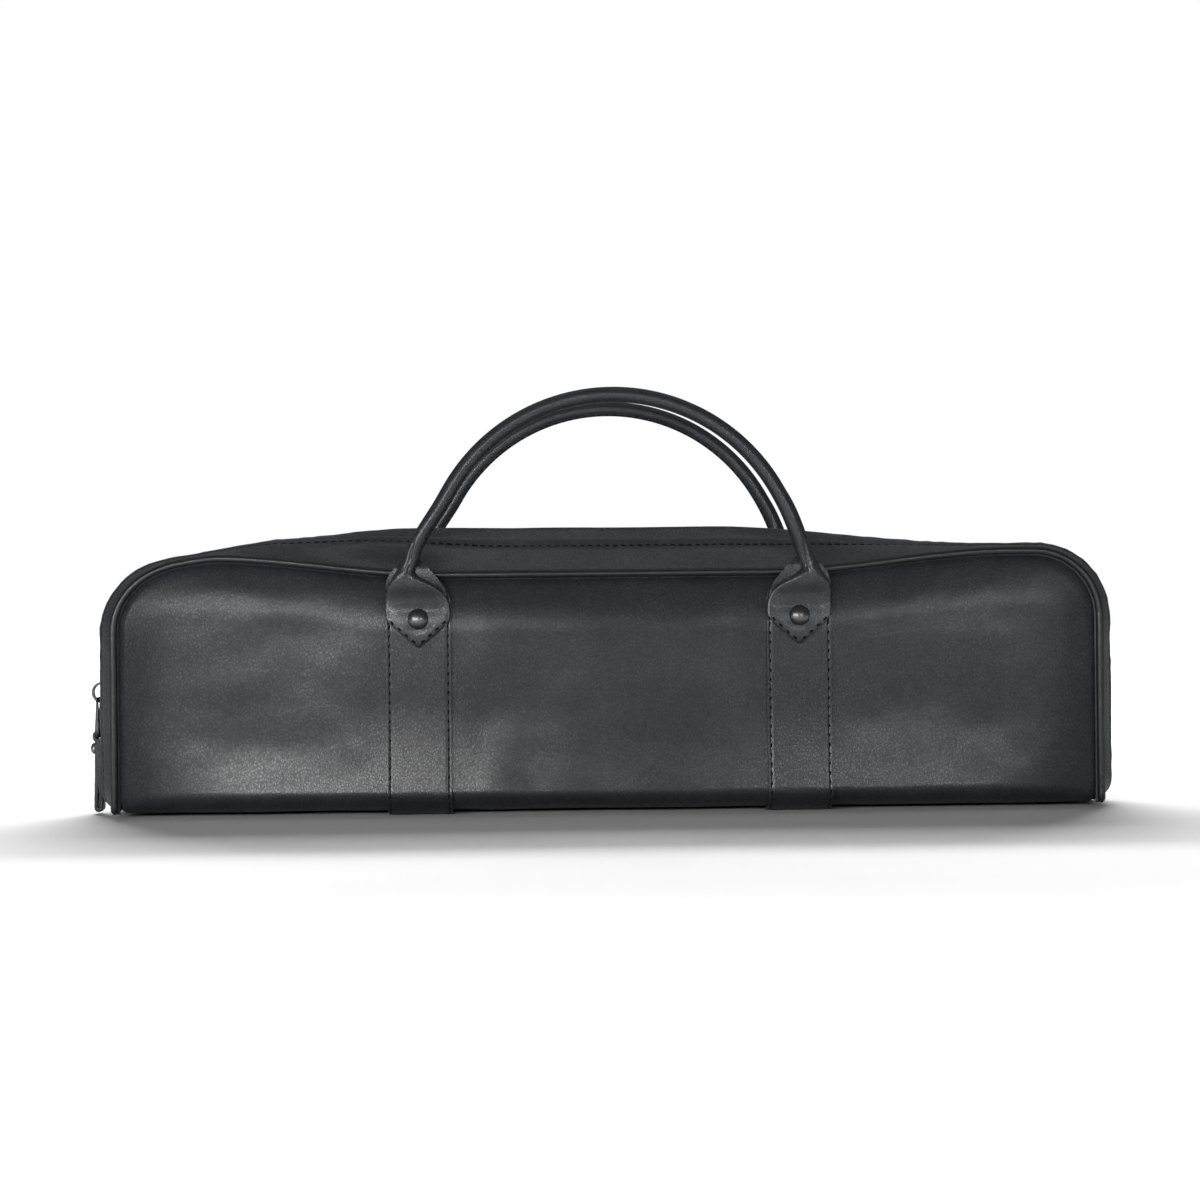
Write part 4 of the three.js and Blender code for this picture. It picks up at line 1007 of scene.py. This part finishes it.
def handle_sections():
    """Sections from the right tab's point over the arch to the left tab's point: the middle in
    X, Y and Z, the way across in X and Z, half width, half thickness, squareness, rolled."""
    half = []
    heights = [TAB_POINT + 0.02]
    while heights[-1] < 102.4:
        heights.append(heights[-1] + (0.55 if heights[-1] < TAB_POINT + 1.5 else 0.85))
    for z in heights:
        _, low, high, thick, square = between(TAB_SECTIONS, z)
        x = STRAP_MIDDLE + (low + high) / 2
        y = mix(tab_seat(x, z) + thick, roll_plane(z), ease(82, 106, z))
        half.append((Vector((x, y, z)), Vector((1, 0)), (high - low) / 2, thick, square, 0.0))
    path = roll_path()
    for k, p in enumerate(path):
        before, after = path[max(k - 1, 0)], path[min(k + 1, len(path) - 1)]
        tangent = (after - before).normalized()
        across = Vector((tangent.y, -tangent.x))
        near = ease(105, 112, p.y)
        across = Vector((1, 0)).lerp(across, 0.5 + 0.5 * near).normalized()
        wide = mix(3.45, ROLL_RADIUS, near)
        half.append((Vector((p.x, roll_plane(p.y), p.y)), across, wide, ROLL_RADIUS, 2.0, near))
    mirrored = [(Vector((-m.x, m.y, m.z)), Vector((a.x, -a.y)), w, t, s, r)
                for m, a, w, t, s, r in half[:-1]]
    return half, mirrored[::-1]


def section_ring(section, half, mirrored):
    middle, across, wide, thick, square, rolled = section
    ring = []
    for n in range(RING_POINTS):
        angle = 2 * math.pi * n / RING_POINTS
        c, s = math.cos(angle), math.sin(angle)
        if mirrored:
            c = -c
        power = 2 / square
        flat_c = math.copysign(abs(c) ** power, c)
        flat_s = math.copysign(abs(s) ** power, s)
        seam = math.atan2(math.sin(angle - SEAM_TURN), math.cos(angle - SEAM_TURN))
        lips = (LIP_RISE * math.exp(-((abs(seam) - LIP_AT) / LIP_WIDE) ** 2)
                - LIP_GROOVE * math.exp(-(seam / LIP_GROOVE_WIDE) ** 2))
        grow = 1 + rolled * lips / ROLL_RADIUS
        out = wide * flat_c * grow
        ring.append((middle.x + across.x * out, half * (middle.y + thick * flat_s * grow),
                     middle.z + across.y * out))
    return ring


def puckered(point, half):
    """The tab's face: pressed in round the rivet, crowned above it, creased below the roll."""
    x, y, z = point
    across = abs(x) - STRAP_MIDDLE
    if abs(y) < tab_seat(x, z) + 1:
        return point
    distance = math.hypot(across, z - RIVET_HEIGHT)
    out = -RIVET_DENT * math.exp(-((distance - RIVET_RADIUS) / DENT_WIDE) ** 2)
    crown = ease(84, 94, z) * (1 - ease(94, 104, z))
    out += TAB_CROWN * crown * max(1 - (across / CROWN_HALF) ** 2, 0)
    crease = TAB_CREASE
    bend = crease["at"] - crease["lean"] * (z - crease["height"])
    out -= (crease["deep"] * math.exp(-((across - bend) / crease["wide"]) ** 2)
            * ease(93, 98, z) * (1 - ease(108, 116, z)))
    out += (TAB_WRINKLE * wave(across, z, 2.3 * half, 2.6, 6) * ease(83, 88, z)
            * (1 - ease(100, 106, z)))
    return (x, y + half * out, z)


def roll_handle(half):
    name = HALF_NAME[half]
    right, left = handle_sections()
    rings = [section_ring(s, half, False) for s in right]
    rings += [section_ring(s, half, True) for s in left]
    points = [puckered(p, half) if abs(abs(p[0]) - STRAP_MIDDLE) < 16 and p[2] < 120 else p
              for ring in rings for p in ring]
    handle = cut_piece(f"{name}_handle_roll", points, tube_faces(len(rings), RING_POINTS),
                       handle_leather)
    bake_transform(handle)
    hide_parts(f"{name}_handle", f"{name}_handle_core", f"{name}_left_tab",
                f"{name}_right_tab")
    thread = sew(f"{name}_handle_stitches", roll_stitches(right, left, half), length=2.2,
                 radius=0.27, lift=0.1)
    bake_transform(thread)


def roll_stitches(right, left, half):
    """The row that closes the roll, on the side that faces the other handle."""
    line, outs = [], []
    for middle, across, _, _, _, rolled in right + left:
        if rolled <= 0.5:
            continue
        turn = math.cos(SEAM_TURN) * (-1 if middle.x < 0 else 1)
        out = (Vector((across.x, 0, across.y)) * turn
               + Vector((0, math.sin(SEAM_TURN) * half, 0)))
        centre = Vector((middle.x, half * middle.y, middle.z))
        line.append(tuple(centre + out * (ROLL_RADIUS - 0.12)))
        outs.append(out)
    return [(place, along, outs[k]) for place, along, k in along_line(line, ROLL_PITCH)]


def sew_tab(half, end):
    """The row along the tab's point, close inside its edge."""
    places = []
    for side in (-1, 1):
        run = []
        for k in range(15):
            z = mix(TAB_POINT + 1.5, TAB_ROW_TOP, k / 14)
            _, low, high, thick, square = between(TAB_SECTIONS, z)
            edge = low if side < 0 else high
            x = edge - side * TAB_ROW_IN
            share = min(abs(x / edge), 1) if edge else 0
            bulge = thick * (1 + (1 - share ** square) ** (1 / square))
            place_x = end * (STRAP_MIDDLE + x)
            run.append((place_x, half * (tab_seat(place_x, z) + bulge), z))
        places += [(place, along, Vector((0, half, 0)))
                   for place, along, _ in along_line(run, TAB_PITCH, 0.2)]
    thread = sew(f"{HALF_NAME[half]}_{END_NAME[end]}_tab_stitches", places, length=2.1,
                 radius=0.42, lift=0.12)
    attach(thread, f"{HALF_NAME[half]}_half")


for half in (FRONT, BACK):
    roll_handle(half)
    for end in (LEFT, RIGHT):
        sew_tab(half, end)

# Rivets: black enamelled brass with a high domed head, driven through tab, strap and panel onto
# a washer behind the panel. They stand square to the panel's face.
RIVET_DOME = 2.6
RIVET_STEM, RIVET_FOOT, RIVET_BRIM, RIVET_SUNK = 1.5, -2.7, 0.35, 0.25
TAB_THICKNESS = 2.2


def black_enamel():
    enamel, nodes, links, surface = new_finish("black_enamel")
    surface.inputs["Specular IOR Level"].default_value = 1.0
    surface.inputs["Coat Weight"].default_value = 1.0
    surface.inputs["Coat Roughness"].default_value = 0.3
    scuff = noise_texture(nodes, links, 900, 4).outputs["Fac"]
    two_tone(nodes, links, surface, scuff, (0.008, 0.008, 0.009, 1), (0.018, 0.018, 0.02, 1))
    links.new(scaled(nodes, links, scuff, 0.16, 0.2), surface.inputs["Roughness"])
    return enamel


rivet_enamel = black_enamel()


def turned(profile, turns=40):
    """Points and faces of a piece turned about its axis: radius and height of each corner."""
    points = []
    for radius, height in profile:
        for n in range(turns):
            angle = 2 * math.pi * n / turns
            points.append((radius * math.cos(angle), height, radius * math.sin(angle)))
    return points, tube_faces(len(profile), turns)


def set_rivet(half, end):
    name = f"{HALF_NAME[half]}_{END_NAME[end]}_rivet"
    head = 2 * GAP + STRAP_THICKNESS + TAB_THICKNESS - RIVET_SUNK
    profile = [(0.4, RIVET_FOOT), (RIVET_STEM, RIVET_FOOT), (RIVET_STEM, head - 0.1),
               (RIVET_RADIUS - RIVET_BRIM, head - 0.1), (RIVET_RADIUS - 0.05, head + 0.1),
               (RIVET_RADIUS, head + RIVET_BRIM)]
    for k in range(1, 15):
        angle = math.pi / 2 * k / 15
        profile.append((RIVET_RADIUS * math.cos(angle),
                        head + RIVET_BRIM + (RIVET_DOME - 0.05) * math.sin(angle)))
    profile.append((0.12, head + RIVET_BRIM + (RIVET_DOME - 0.05)))
    points, faces = turned(profile)
    x0 = end * STRAP_MIDDLE
    rise = (hide_face(x0, RIVET_HEIGHT - RIVET_RADIUS)
            - hide_face(x0, RIVET_HEIGHT + RIVET_RADIUS))
    lean = math.atan2(rise, 2 * RIVET_RADIUS)
    placed = []
    for x, y, z in points:
        out = y * math.cos(lean) - z * math.sin(lean)
        up = y * math.sin(lean) + z * math.cos(lean)
        placed.append((x0 + x, half * (hide_face(x0, RIVET_HEIGHT) + out), RIVET_HEIGHT + up))
    rivet = cut_piece(f"{name}_head", placed, faces, rivet_enamel)
    soften_edges(rivet, 0.08)
    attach(rivet, f"{HALF_NAME[half]}_half")
    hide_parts(name)


for half in (FRONT, BACK):
    for end in (LEFT, RIGHT):
        set_rivet(half, end)

# Zip: woven tapes under the gussets, with a row of dark cast teeth clamped to each edge. The
# rows mesh along the whole bag and stand apart below the slider, where the top stops are.
TOOTH_PITCH = 2.6
CHAIN_DEPTH = 1.0
CHAIN_THICKNESS = 2.4
TAPE_THICKNESS = 0.8
TAPE_HALF = 16
PARTED = 1.6
PART_TOP = 52.5
PART_BOTTOM = 46.5
STOP_HEIGHT = 3.2
STOP_PROUD = 0.1
LEFT_STOP_TOP = 15.7
RIGHT_STOP_TOP = 12.7
TAPE_EDGE = 1.75
# along the zip and across it; then how deep each layer of a tooth lies and how wide it is
TOOTH_SHAPE = [(0.62, 2.6), (0.62, 1.45), (0.42, 1.0), (0.56, 0.25), (0.5, -0.25), (0.22, -0.56)]
TOOTH_LAYERS = [(0.0, 0.7), (0.3, 1.0), (2.1, 1.0), (2.4, 0.7)]


def woven_cloth(name, colour, threads, relief):
    """A plain weave in the cloth's own directions, threads in each metre."""
    cloth, nodes, links, surface = new_finish(name)
    surface.inputs["Specular IOR Level"].default_value = 0.15
    surface.inputs["Sheen Weight"].default_value = 0.08
    across = nodes.new("ShaderNodeUVMap")
    across.uv_map = "weave"
    waves = []
    for direction in ("X", "Y"):
        yarn = nodes.new("ShaderNodeTexWave")
        yarn.bands_direction = direction
        yarn.inputs["Scale"].default_value = threads / 20
        yarn.inputs["Distortion"].default_value = 0.4
        links.new(across.outputs["UV"], yarn.inputs["Vector"])
        waves.append(yarn.outputs["Fac"])
    both = figure(nodes, links, "MULTIPLY", *waves)
    two_tone(nodes, links, surface, both, tuple(c * 0.55 for c in colour[:3]) + (1,),
             tuple(c * 1.5 for c in colour[:3]) + (1,))
    links.new(scaled(nodes, links, both, -0.1, 0.9), surface.inputs["Roughness"])
    emboss(nodes, links, surface, both, relief)
    return cloth


def cast_metal(name, dark, light, rough):
    metal, nodes, links, surface = new_finish(name)
    surface.inputs["Metallic"].default_value = 1
    tarnish = noise_texture(nodes, links, 380, 5).outputs["Fac"]
    two_tone(nodes, links, surface, tarnish, dark, light, 0.3, 0.72)
    links.new(scaled(nodes, links, tarnish, 0.22, rough), surface.inputs["Roughness"])
    emboss(nodes, links, surface, tarnish, 0.02)
    return metal


tape_weave = woven_cloth("zip_tape_weave", (0.012, 0.012, 0.014), 2400, 0.08)
gunmetal = cast_metal("gunmetal", (0.05, 0.05, 0.055, 1), (0.12, 0.12, 0.13, 1), 0.28)


def parting(x, z):
    if x > 0:
        return 0
    return PARTED * clamp((PART_TOP - z) / (PART_TOP - PART_BOTTOM))


def weave_places(rows):
    """How far each point lies along and across a strip, in metres, for its weave."""
    places, along = [], 0.0
    for i, row in enumerate(rows):
        if i:
            along += (Vector(row[0]) - Vector(rows[i - 1][0])).length
        across = 0.0
        for j, point in enumerate(row):
            if j:
                across += (Vector(point) - Vector(row[j - 1])).length
            places.append((along * MM, across * MM))
    return places + places


def weave_tape(half):
    name = HALF_NAME[half]
    depth = CHAIN_DEPTH + (CHAIN_THICKNESS - TAPE_THICKNESS) / 2

    def row(k, d):
        station = zip_stations[k]
        edge = TAPE_EDGE + parting(station["x"], station["z"])
        ys = [mix(TAPE_HALF, edge, n / 12) for n in range(13)]
        return [gusset_point(k, y, d, half) for y in ys]

    outer = [row(k, depth) for k in range(len(zip_stations))]
    inner = [row(k, depth + TAPE_THICKNESS) for k in range(len(zip_stations))]
    points, faces = slab(outer, inner)
    tape = cut_piece(f"{name}_zip_tape_cloth", points, faces, tape_weave,
                     weave=weave_places(outer))
    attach(tape, f"{name}_half")
    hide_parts(f"{name}_zip_tape")


def chain_at(length):
    low, high = 0, len(zip_stations) - 1
    while high - low > 1:
        middle = (low + high) // 2
        if zip_stations[middle]["length"] < length:
            low = middle
        else:
            high = middle
    before, after = zip_stations[low], zip_stations[high]
    share = (length - before["length"]) / (after["length"] - before["length"])
    return [mix(before[key], after[key], share) for key in ("x", "z", "nx", "nz")]


def chain_point(length, y, depth, half):
    x, z, nx, nz = chain_at(length)
    return (x - nx * depth, half * (y + parting(x, z)), z - nz * depth)


def length_at_height(height):
    foot = zip_stations[FOOT_STEPS]
    return foot["length"] + height - foot["z"]


chain_length = zip_stations[-1]["length"]


def cast_teeth(half):
    start = length_at_height(LEFT_STOP_TOP + GAP)
    end = chain_length - length_at_height(RIGHT_STOP_TOP + GAP)
    phase = 0.5 if half == FRONT else 0.0
    outline = TOOTH_SHAPE + [(-a, y) for a, y in TOOTH_SHAPE[::-1]]
    points, faces = [], []
    count = int((end - start) / TOOTH_PITCH - phase)
    for n in range(count):
        middle = start + (n + phase + 0.5) * TOOTH_PITCH
        first = len(points)
        for depth, narrow in TOOTH_LAYERS:
            for a, y in outline:
                points.append(chain_point(middle + a * narrow, mix(1.2, y, mix(1, narrow, 0.25)),
                                          CHAIN_DEPTH + depth, half))
        faces += tube_faces(len(TOOTH_LAYERS), len(outline), first)
    name = HALF_NAME[half]
    teeth = cut_piece(f"{name}_teeth", points, faces, gunmetal)
    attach(teeth, f"{name}_half")
    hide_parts(f"{name}_zip_teeth", f"{name}_zip_teeth_left")


def clamp_stop(name, node, body, length, low, high, half):
    """A small block bent over the chain, with rounded edges."""
    def layer(depth):
        return [[chain_point(length + STOP_HEIGHT * i / 5, mix(low, high, j / 4), depth, half)
                 for j in range(5)] for i in range(6)]

    points, faces = slab(layer(CHAIN_DEPTH - STOP_PROUD), layer(CHAIN_DEPTH + CHAIN_THICKNESS))
    stop = cut_piece(name, points, faces, gunmetal)
    soften_edges(stop, 0.35)
    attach(stop, body)
    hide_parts(node)


for half in (FRONT, BACK):
    weave_tape(half)
    cast_teeth(half)
    name = HALF_NAME[half]
    clamp_stop(f"{name}_top_stop", f"{name}_zip_stop", f"{name}_half",
               length_at_height(LEFT_STOP_TOP) - STOP_HEIGHT, -0.5, 2.6, half)
clamp_stop("chain_end_stop", "zip_end_stop", "back_half",
           chain_length - length_at_height(RIGHT_STOP_TOP), -2.6, 2.6, BACK)

# Slider: one dark die casting, two wings on a post with a bail over the outer wing. Its pull is
# a flat ring, and a thong folded round the ring's lower bar and closed with a small domed rivet.
SLIDER_HEIGHT = 52
SLIDER_LENGTH = 11.5
ZIP_X = -215
WING = 1.2
WING_DEPTH = 0.7
CHANNEL = 3.0
SLIDER_NARROW = 3.7
BAIL_FOOT, BAIL_HALF, BAIL_POWER, BAIL_STEPS = 0.3, 1.2, 0.8, 12
BAIL_OUTER, BAIL_INNER = (5.0, 4.8), (3.8, 3.6)
PIVOT_OUT = 2.3
PIVOT_HEIGHT = 49.35
LOWER_BAR = 33.15
LINK_WIDTH = 9.6
LINK_WIRE = 1.3
THONG_WIDTH = 6.4
THONG_HALF = 1.35
THONG_LENGTH = 32
PULL_RIVET_DROP = 5.2
BOX_SIDES = [(0, 1, 2, 3), (7, 6, 5, 4), (0, 4, 5, 1), (1, 5, 6, 2), (2, 6, 7, 3), (3, 7, 4, 0)]


def block(outline, low, high, place):
    """A prism: an outline in Y and Z, from one distance out of the bag's end to another."""
    count = len(outline)
    points = [place(out, y, z) for out in (low, high) for y, z in outline]
    faces = [tuple(range(count)), tuple(range(2 * count - 1, count - 1, -1))]
    for n in range(count):
        m = (n + 1) % count
        faces.append((n, m, m + count, n + count))
    return points, faces


def at_slider(out, y, z):
    return (ZIP_X - out, y, SLIDER_HEIGHT + z)


def gathered(parts):
    points, faces = [], []
    for more, sides in parts:
        first = len(points)
        points += more
        faces += [tuple(first + n for n in side) for side in sides]
    return points, faces


def fused(piece, voxel, rounds):
    """Runs overlapping parts of a casting together, with its corners softened."""
    bpy.context.view_layer.objects.active = piece
    skin = piece.modifiers.new("fuse", "REMESH")
    skin.mode = "VOXEL"
    skin.voxel_size = voxel * MM
    skin.use_smooth_shade = True
    smooth = piece.modifiers.new("soften", "SMOOTH")
    smooth.factor = 0.5
    smooth.iterations = rounds


def bail_edge(reach, high):
    """One edge of the bail: how far it stands out, and its height on the slider."""
    angles = [math.pi * k / BAIL_STEPS for k in range(BAIL_STEPS + 1)]
    return [(BAIL_FOOT + reach * math.sin(a) ** BAIL_POWER, -high * math.cos(a)) for a in angles]


def cast_slider():
    half = SLIDER_LENGTH / 2
    narrow = SLIDER_NARROW
    wide = narrow + PARTED
    right = [(wide - 1.6, -half), (wide - 0.5, -half + 0.35), (wide, -half + 1.5),
             (mix(wide, narrow, 0.5), 0), (narrow, half - 2.2), (narrow - 0.6, half - 0.7),
             (narrow - 1.7, half)]
    wing = right + [(-y, z) for y, z in right[::-1]]
    inner = -WING_DEPTH - CHANNEL
    parts = [block(wing, -WING_DEPTH, WING - WING_DEPTH, at_slider),
             block(wing, inner - WING, inner, at_slider)]
    for side in (-1, 1):
        wall = [(side * (wide - 0.8), -half), (side * wide, -half),
                (side * narrow, half - 0.6), (side * (narrow - 0.8), half - 0.6)]
        for low, high in ((-WING_DEPTH - 0.7, 0), (inner - 0.5, inner + 0.7)):
            parts.append(block(wall, low, high, at_slider))
    post = [(-0.72, -half), (0.72, -half), (0.12, -half + 2.3), (-0.12, -half + 2.3)]
    parts.append(block(post, inner - 0.5, 0, at_slider))
    bail_out, bail_in = bail_edge(*BAIL_OUTER), bail_edge(*BAIL_INNER)
    strip = []
    for k in range(BAIL_STEPS):
        corners = [bail_out[k], bail_out[k + 1], bail_in[k + 1], bail_in[k]]
        points = [at_slider(out, y, z) for y in (-BAIL_HALF, BAIL_HALF) for out, z in corners]
        strip.append((points, BOX_SIDES))
    points, faces = gathered(parts + strip)
    slider = cut_piece("slider_casting", points, faces, gunmetal)
    fused(slider, 0.16, 4)
    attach(slider, "zip_slider")
    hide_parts("zip_slider")


def wire_loop(path, normals, wire, thicks):
    """A closed loop of rounded wire: its middle line, the way out of the loop, its thickness."""
    sides = 10
    points, faces = [], []
    for place, normal, thick in zip(path, normals, thicks):
        for n in range(sides):
            angle = 2 * math.pi * n / sides
            c, s = math.cos(angle), math.sin(angle)
            c, s = math.copysign(abs(c) ** 0.7, c), math.copysign(abs(s) ** 0.7, s)
            points.append(Vector(place) + Vector(normal) * wire / 2 * c
                          + Vector((thick / 2 * s, 0, 0)))
    count = len(path)
    for k in range(count):
        for n in range(sides):
            a, b = k * sides + n, k * sides + (n + 1) % sides
            c, d = ((k + 1) % count) * sides + (n + 1) % sides, ((k + 1) % count) * sides + n
            faces.append((a, b, c, d))
    return points, faces


def bend_link():
    half, corner = LINK_WIDTH / 2 - LINK_WIRE / 2, 2.0
    low, high = LOWER_BAR, PIVOT_HEIGHT
    path, normals = [], []
    for cy, cz, start in ((half - corner, high - corner, 0), (corner - half, high - corner, 90),
                          (corner - half, low + corner, 180), (half - corner, low + corner, 270)):
        for k in range(8):
            angle = math.radians(start + 90 * k / 7)
            normal = (0, math.cos(angle), math.sin(angle))
            path.append((ZIP_X - PIVOT_OUT, cy + corner * math.cos(angle),
                         cz + corner * math.sin(angle)))
            normals.append(normal)
    thicks = [mix(2.3, 1.2, ease(high - 4.5, high - 2.5, z)) for _, _, z in path]
    points, faces = wire_loop(path, normals, LINK_WIRE, thicks)
    link = cut_piece("pull_ring", points, faces, gunmetal)
    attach(link, "pull_link")
    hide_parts("pull_link")


def thong_outline():
    """Edge of the folded thong: out and in over the ring's bar, down both layers to the tip."""
    outer, eye = 2.45, 1.25
    outside = []
    for k in range(17):
        angle = math.radians(-60 + 300 * k / 16)
        outside.append((outer * math.cos(angle), outer * math.sin(angle)))
    tip = 1.3 * THONG_HALF
    low = tip - THONG_LENGTH
    outside += [(-THONG_HALF - 0.15, -3.9), (-THONG_HALF, -8), (-THONG_HALF, low / 2)]
    outside += [(mix(-THONG_HALF, -tip, ease(low / 2, low, z)), z)
                for z in (low * 0.62, low * 0.75, low * 0.88)]
    for k in range(11):
        angle = math.pi + math.pi * k / 10
        outside.append((tip * math.cos(angle), low + tip * math.sin(angle)))
    outside += [(mix(THONG_HALF, tip, ease(low / 2, low, z)), z)
                for z in (low * 0.88, low * 0.75, low * 0.62)]
    outside += [(THONG_HALF, low / 2), (THONG_HALF, -8), (THONG_HALF + 0.15, -3.9)]
    return outside, eye, tip, low


def fold_thong():
    outside, eye, tip, low = thong_outline()
    curve = bpy.data.curves.new("thong_edge", "CURVE")
    curve.dimensions = "2D"
    curve.fill_mode = "BOTH"
    curve.extrude = (THONG_WIDTH / 2 - 0.3) * MM
    curve.bevel_depth = 0.3 * MM
    curve.bevel_resolution = 2

    def ring(corners):
        spline = curve.splines.new("POLY")
        spline.points.add(len(corners) - 1)
        for point, (x, z) in zip(spline.points, corners):
            point.co = (x * MM, z * MM, 0, 1)
        spline.use_cyclic_u = True

    ring([(x * 0.9, z) for x, z in outside])
    ring([(eye * 1.15 * math.cos(math.pi * k / 8), eye * 1.15 * math.sin(math.pi * k / 8))
          for k in range(16)])
    slot_half = tip - 0.95
    slot = [(slot_half * math.cos(math.pi + math.pi * k / 6),
             low + 0.2 + slot_half * math.sin(math.pi + math.pi * k / 6)) for k in range(7)]
    slot += [(slot_half * 0.8, low + 4), (slot_half * 0.25, low + 8.5),
             (-slot_half * 0.25, low + 8.5), (-slot_half * 0.8, low + 4)]
    ring(slot)
    shape = bpy.data.objects.new("thong_edge", curve)
    bpy.context.scene.collection.objects.link(shape)
    bpy.context.view_layer.update()
    drawn = bpy.data.meshes.new_from_object(shape.evaluated_get(
        bpy.context.evaluated_depsgraph_get()))
    bpy.data.objects.remove(shape)
    points = [(ZIP_X - PIVOT_OUT - v.co.x / MM, v.co.z / MM, LOWER_BAR + v.co.y / MM)
              for v in drawn.vertices]
    faces = [tuple(f.vertices) for f in drawn.polygons]
    thong = cut_piece("pull_thong_leather", points, faces, handle_leather)
    shaped = bmesh.new()
    shaped.from_mesh(thong.data)
    bmesh.ops.remove_doubles(shaped, verts=shaped.verts, dist=0.00001)
    bmesh.ops.recalc_face_normals(shaped, faces=shaped.faces)
    shaped.to_mesh(thong.data)
    shaped.free()
    thong.data.shade_smooth()
    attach(thong, "pull_thong")
    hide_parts("pull_thong")


pull_nickel = cast_metal("worn_nickel", (0.16, 0.16, 0.165, 1), (0.42, 0.42, 0.43, 1), 0.22)


def set_pull_rivet():
    profile = [(0.3, -2.3), (1.5, -2.3), (1.6, -2.1), (1.6, -1.65), (0.8, -1.6), (0.8, 1.6),
               (2.35, 1.6), (2.5, 1.75), (2.5, 1.9)]
    for k in range(1, 11):
        angle = math.pi / 2 * k / 11
        profile.append((2.5 * math.cos(angle), 1.9 + 1.75 * math.sin(angle)))
    profile.append((0.1, 3.65))
    points, faces = turned(profile, 28)
    placed = [(ZIP_X - PIVOT_OUT - out, x, LOWER_BAR - PULL_RIVET_DROP + z)
              for x, out, z in points]
    rivet = cut_piece("pull_rivet_head", placed, faces, pull_nickel)
    soften_edges(rivet, 0.08)
    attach(rivet, "pull_thong")
    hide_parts("pull_rivet")


cast_slider()
bend_link()
fold_thong()
set_pull_rivet()

# Lining: a dark brushed cloth, glued over the boards and round the inside of the gussets. The
# body lining is one cloth from the front over the bottom to the back.
LINING_DEPTH = 4.7
LINING_THICKNESS = 0.8
LINING_INSET = 5
GUSSET_LINING_EDGE = 26.8
GUSSET_LINING_DEPTHS = (2.1, 2.9)


def brushed_cloth():
    cloth, nodes, links, surface = new_finish("brushed_lining")
    surface.inputs["Specular IOR Level"].default_value = 0.1
    surface.inputs["Sheen Weight"].default_value = 0.25
    surface.inputs["Sheen Roughness"].default_value = 0.5
    nap = noise_texture(nodes, links, 1900, 3).outputs["Fac"]
    patch = noise_texture(nodes, links, 45).outputs["Fac"]
    two_tone(nodes, links, surface, figure(nodes, links, "MULTIPLY", nap, patch),
             (0.008, 0.008, 0.01, 1), (0.026, 0.026, 0.03, 1), 0.1, 0.45)
    links.new(scaled(nodes, links, nap, 0.1, 0.88), surface.inputs["Roughness"])
    emboss(nodes, links, surface, nap, 0.12)
    return cloth


lining_cloth = brushed_cloth()


def glued_down():
    """Defines a helper for the length of a line in metres, and does nothing with it."""
    def run(line):
        return sum((Vector(b) - Vector(a)).length for a, b in zip(line, line[1:])) * MM


def cut_body_lining():
    columns = rim_columns(10, 40, LINING_INSET)

    def layer(extra):
        return [whole_profile(x, top, lambda *_: LINING_DEPTH + extra, panel_face)
                for x, top in columns]

    outer, inner = layer(0), layer(LINING_THICKNESS)
    points, faces = slab(outer, inner)
    lining = cut_piece("body_lining", points, faces, lining_cloth)
    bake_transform(lining)
    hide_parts("front_lining", "back_lining")
    glued_down()


def cut_gusset_lining(half):
    name = HALF_NAME[half]
    ys = [mix(GUSSET_LINING_EDGE, TAPE_HALF + GAP, k / 10) for k in range(11)]
    stations = range(3, len(zip_stations) - 3)

    def layer(depth):
        return [[gusset_point(k, y, depth, half) for y in ys] for k in stations]

    outer, inner = [layer(depth) for depth in GUSSET_LINING_DEPTHS]
    points, faces = slab(outer, inner)
    lining = cut_piece(f"{name}_gusset_lining_cloth", points, faces, lining_cloth)
    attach(lining, f"{name}_half")
    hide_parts(f"{name}_gusset_lining")
    glued_down()


cut_body_lining()
for half in (FRONT, BACK):
    cut_gusset_lining(half)

# Boards and washers: grey-brown fibre board glued behind the panels and in the bottom, and the
# enamelled washers under the rivets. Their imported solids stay, with their own finishes.


def fibre_board():
    board, nodes, links, surface = new_finish("fibre_board")
    surface.inputs["Specular IOR Level"].default_value = 0.2
    fibres = noise_texture(nodes, links, 600, 6).outputs["Fac"]
    two_tone(nodes, links, surface, fibres, (0.09, 0.07, 0.05, 1), (0.22, 0.17, 0.12, 1))
    links.new(scaled(nodes, links, fibres, 0.15, 0.8), surface.inputs["Roughness"])
    return board


board_fibre = fibre_board()
for half in (FRONT, BACK):
    name = HALF_NAME[half]
    for node in (f"{name}_board", f"{name}_base_board"):
        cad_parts[node].material_slots[0].material = board_fibre
    for end in (LEFT, RIGHT):
        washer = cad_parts[f"{name}_{END_NAME[end]}_rivet_washer"]
        washer.material_slots[0].material = rivet_enamel
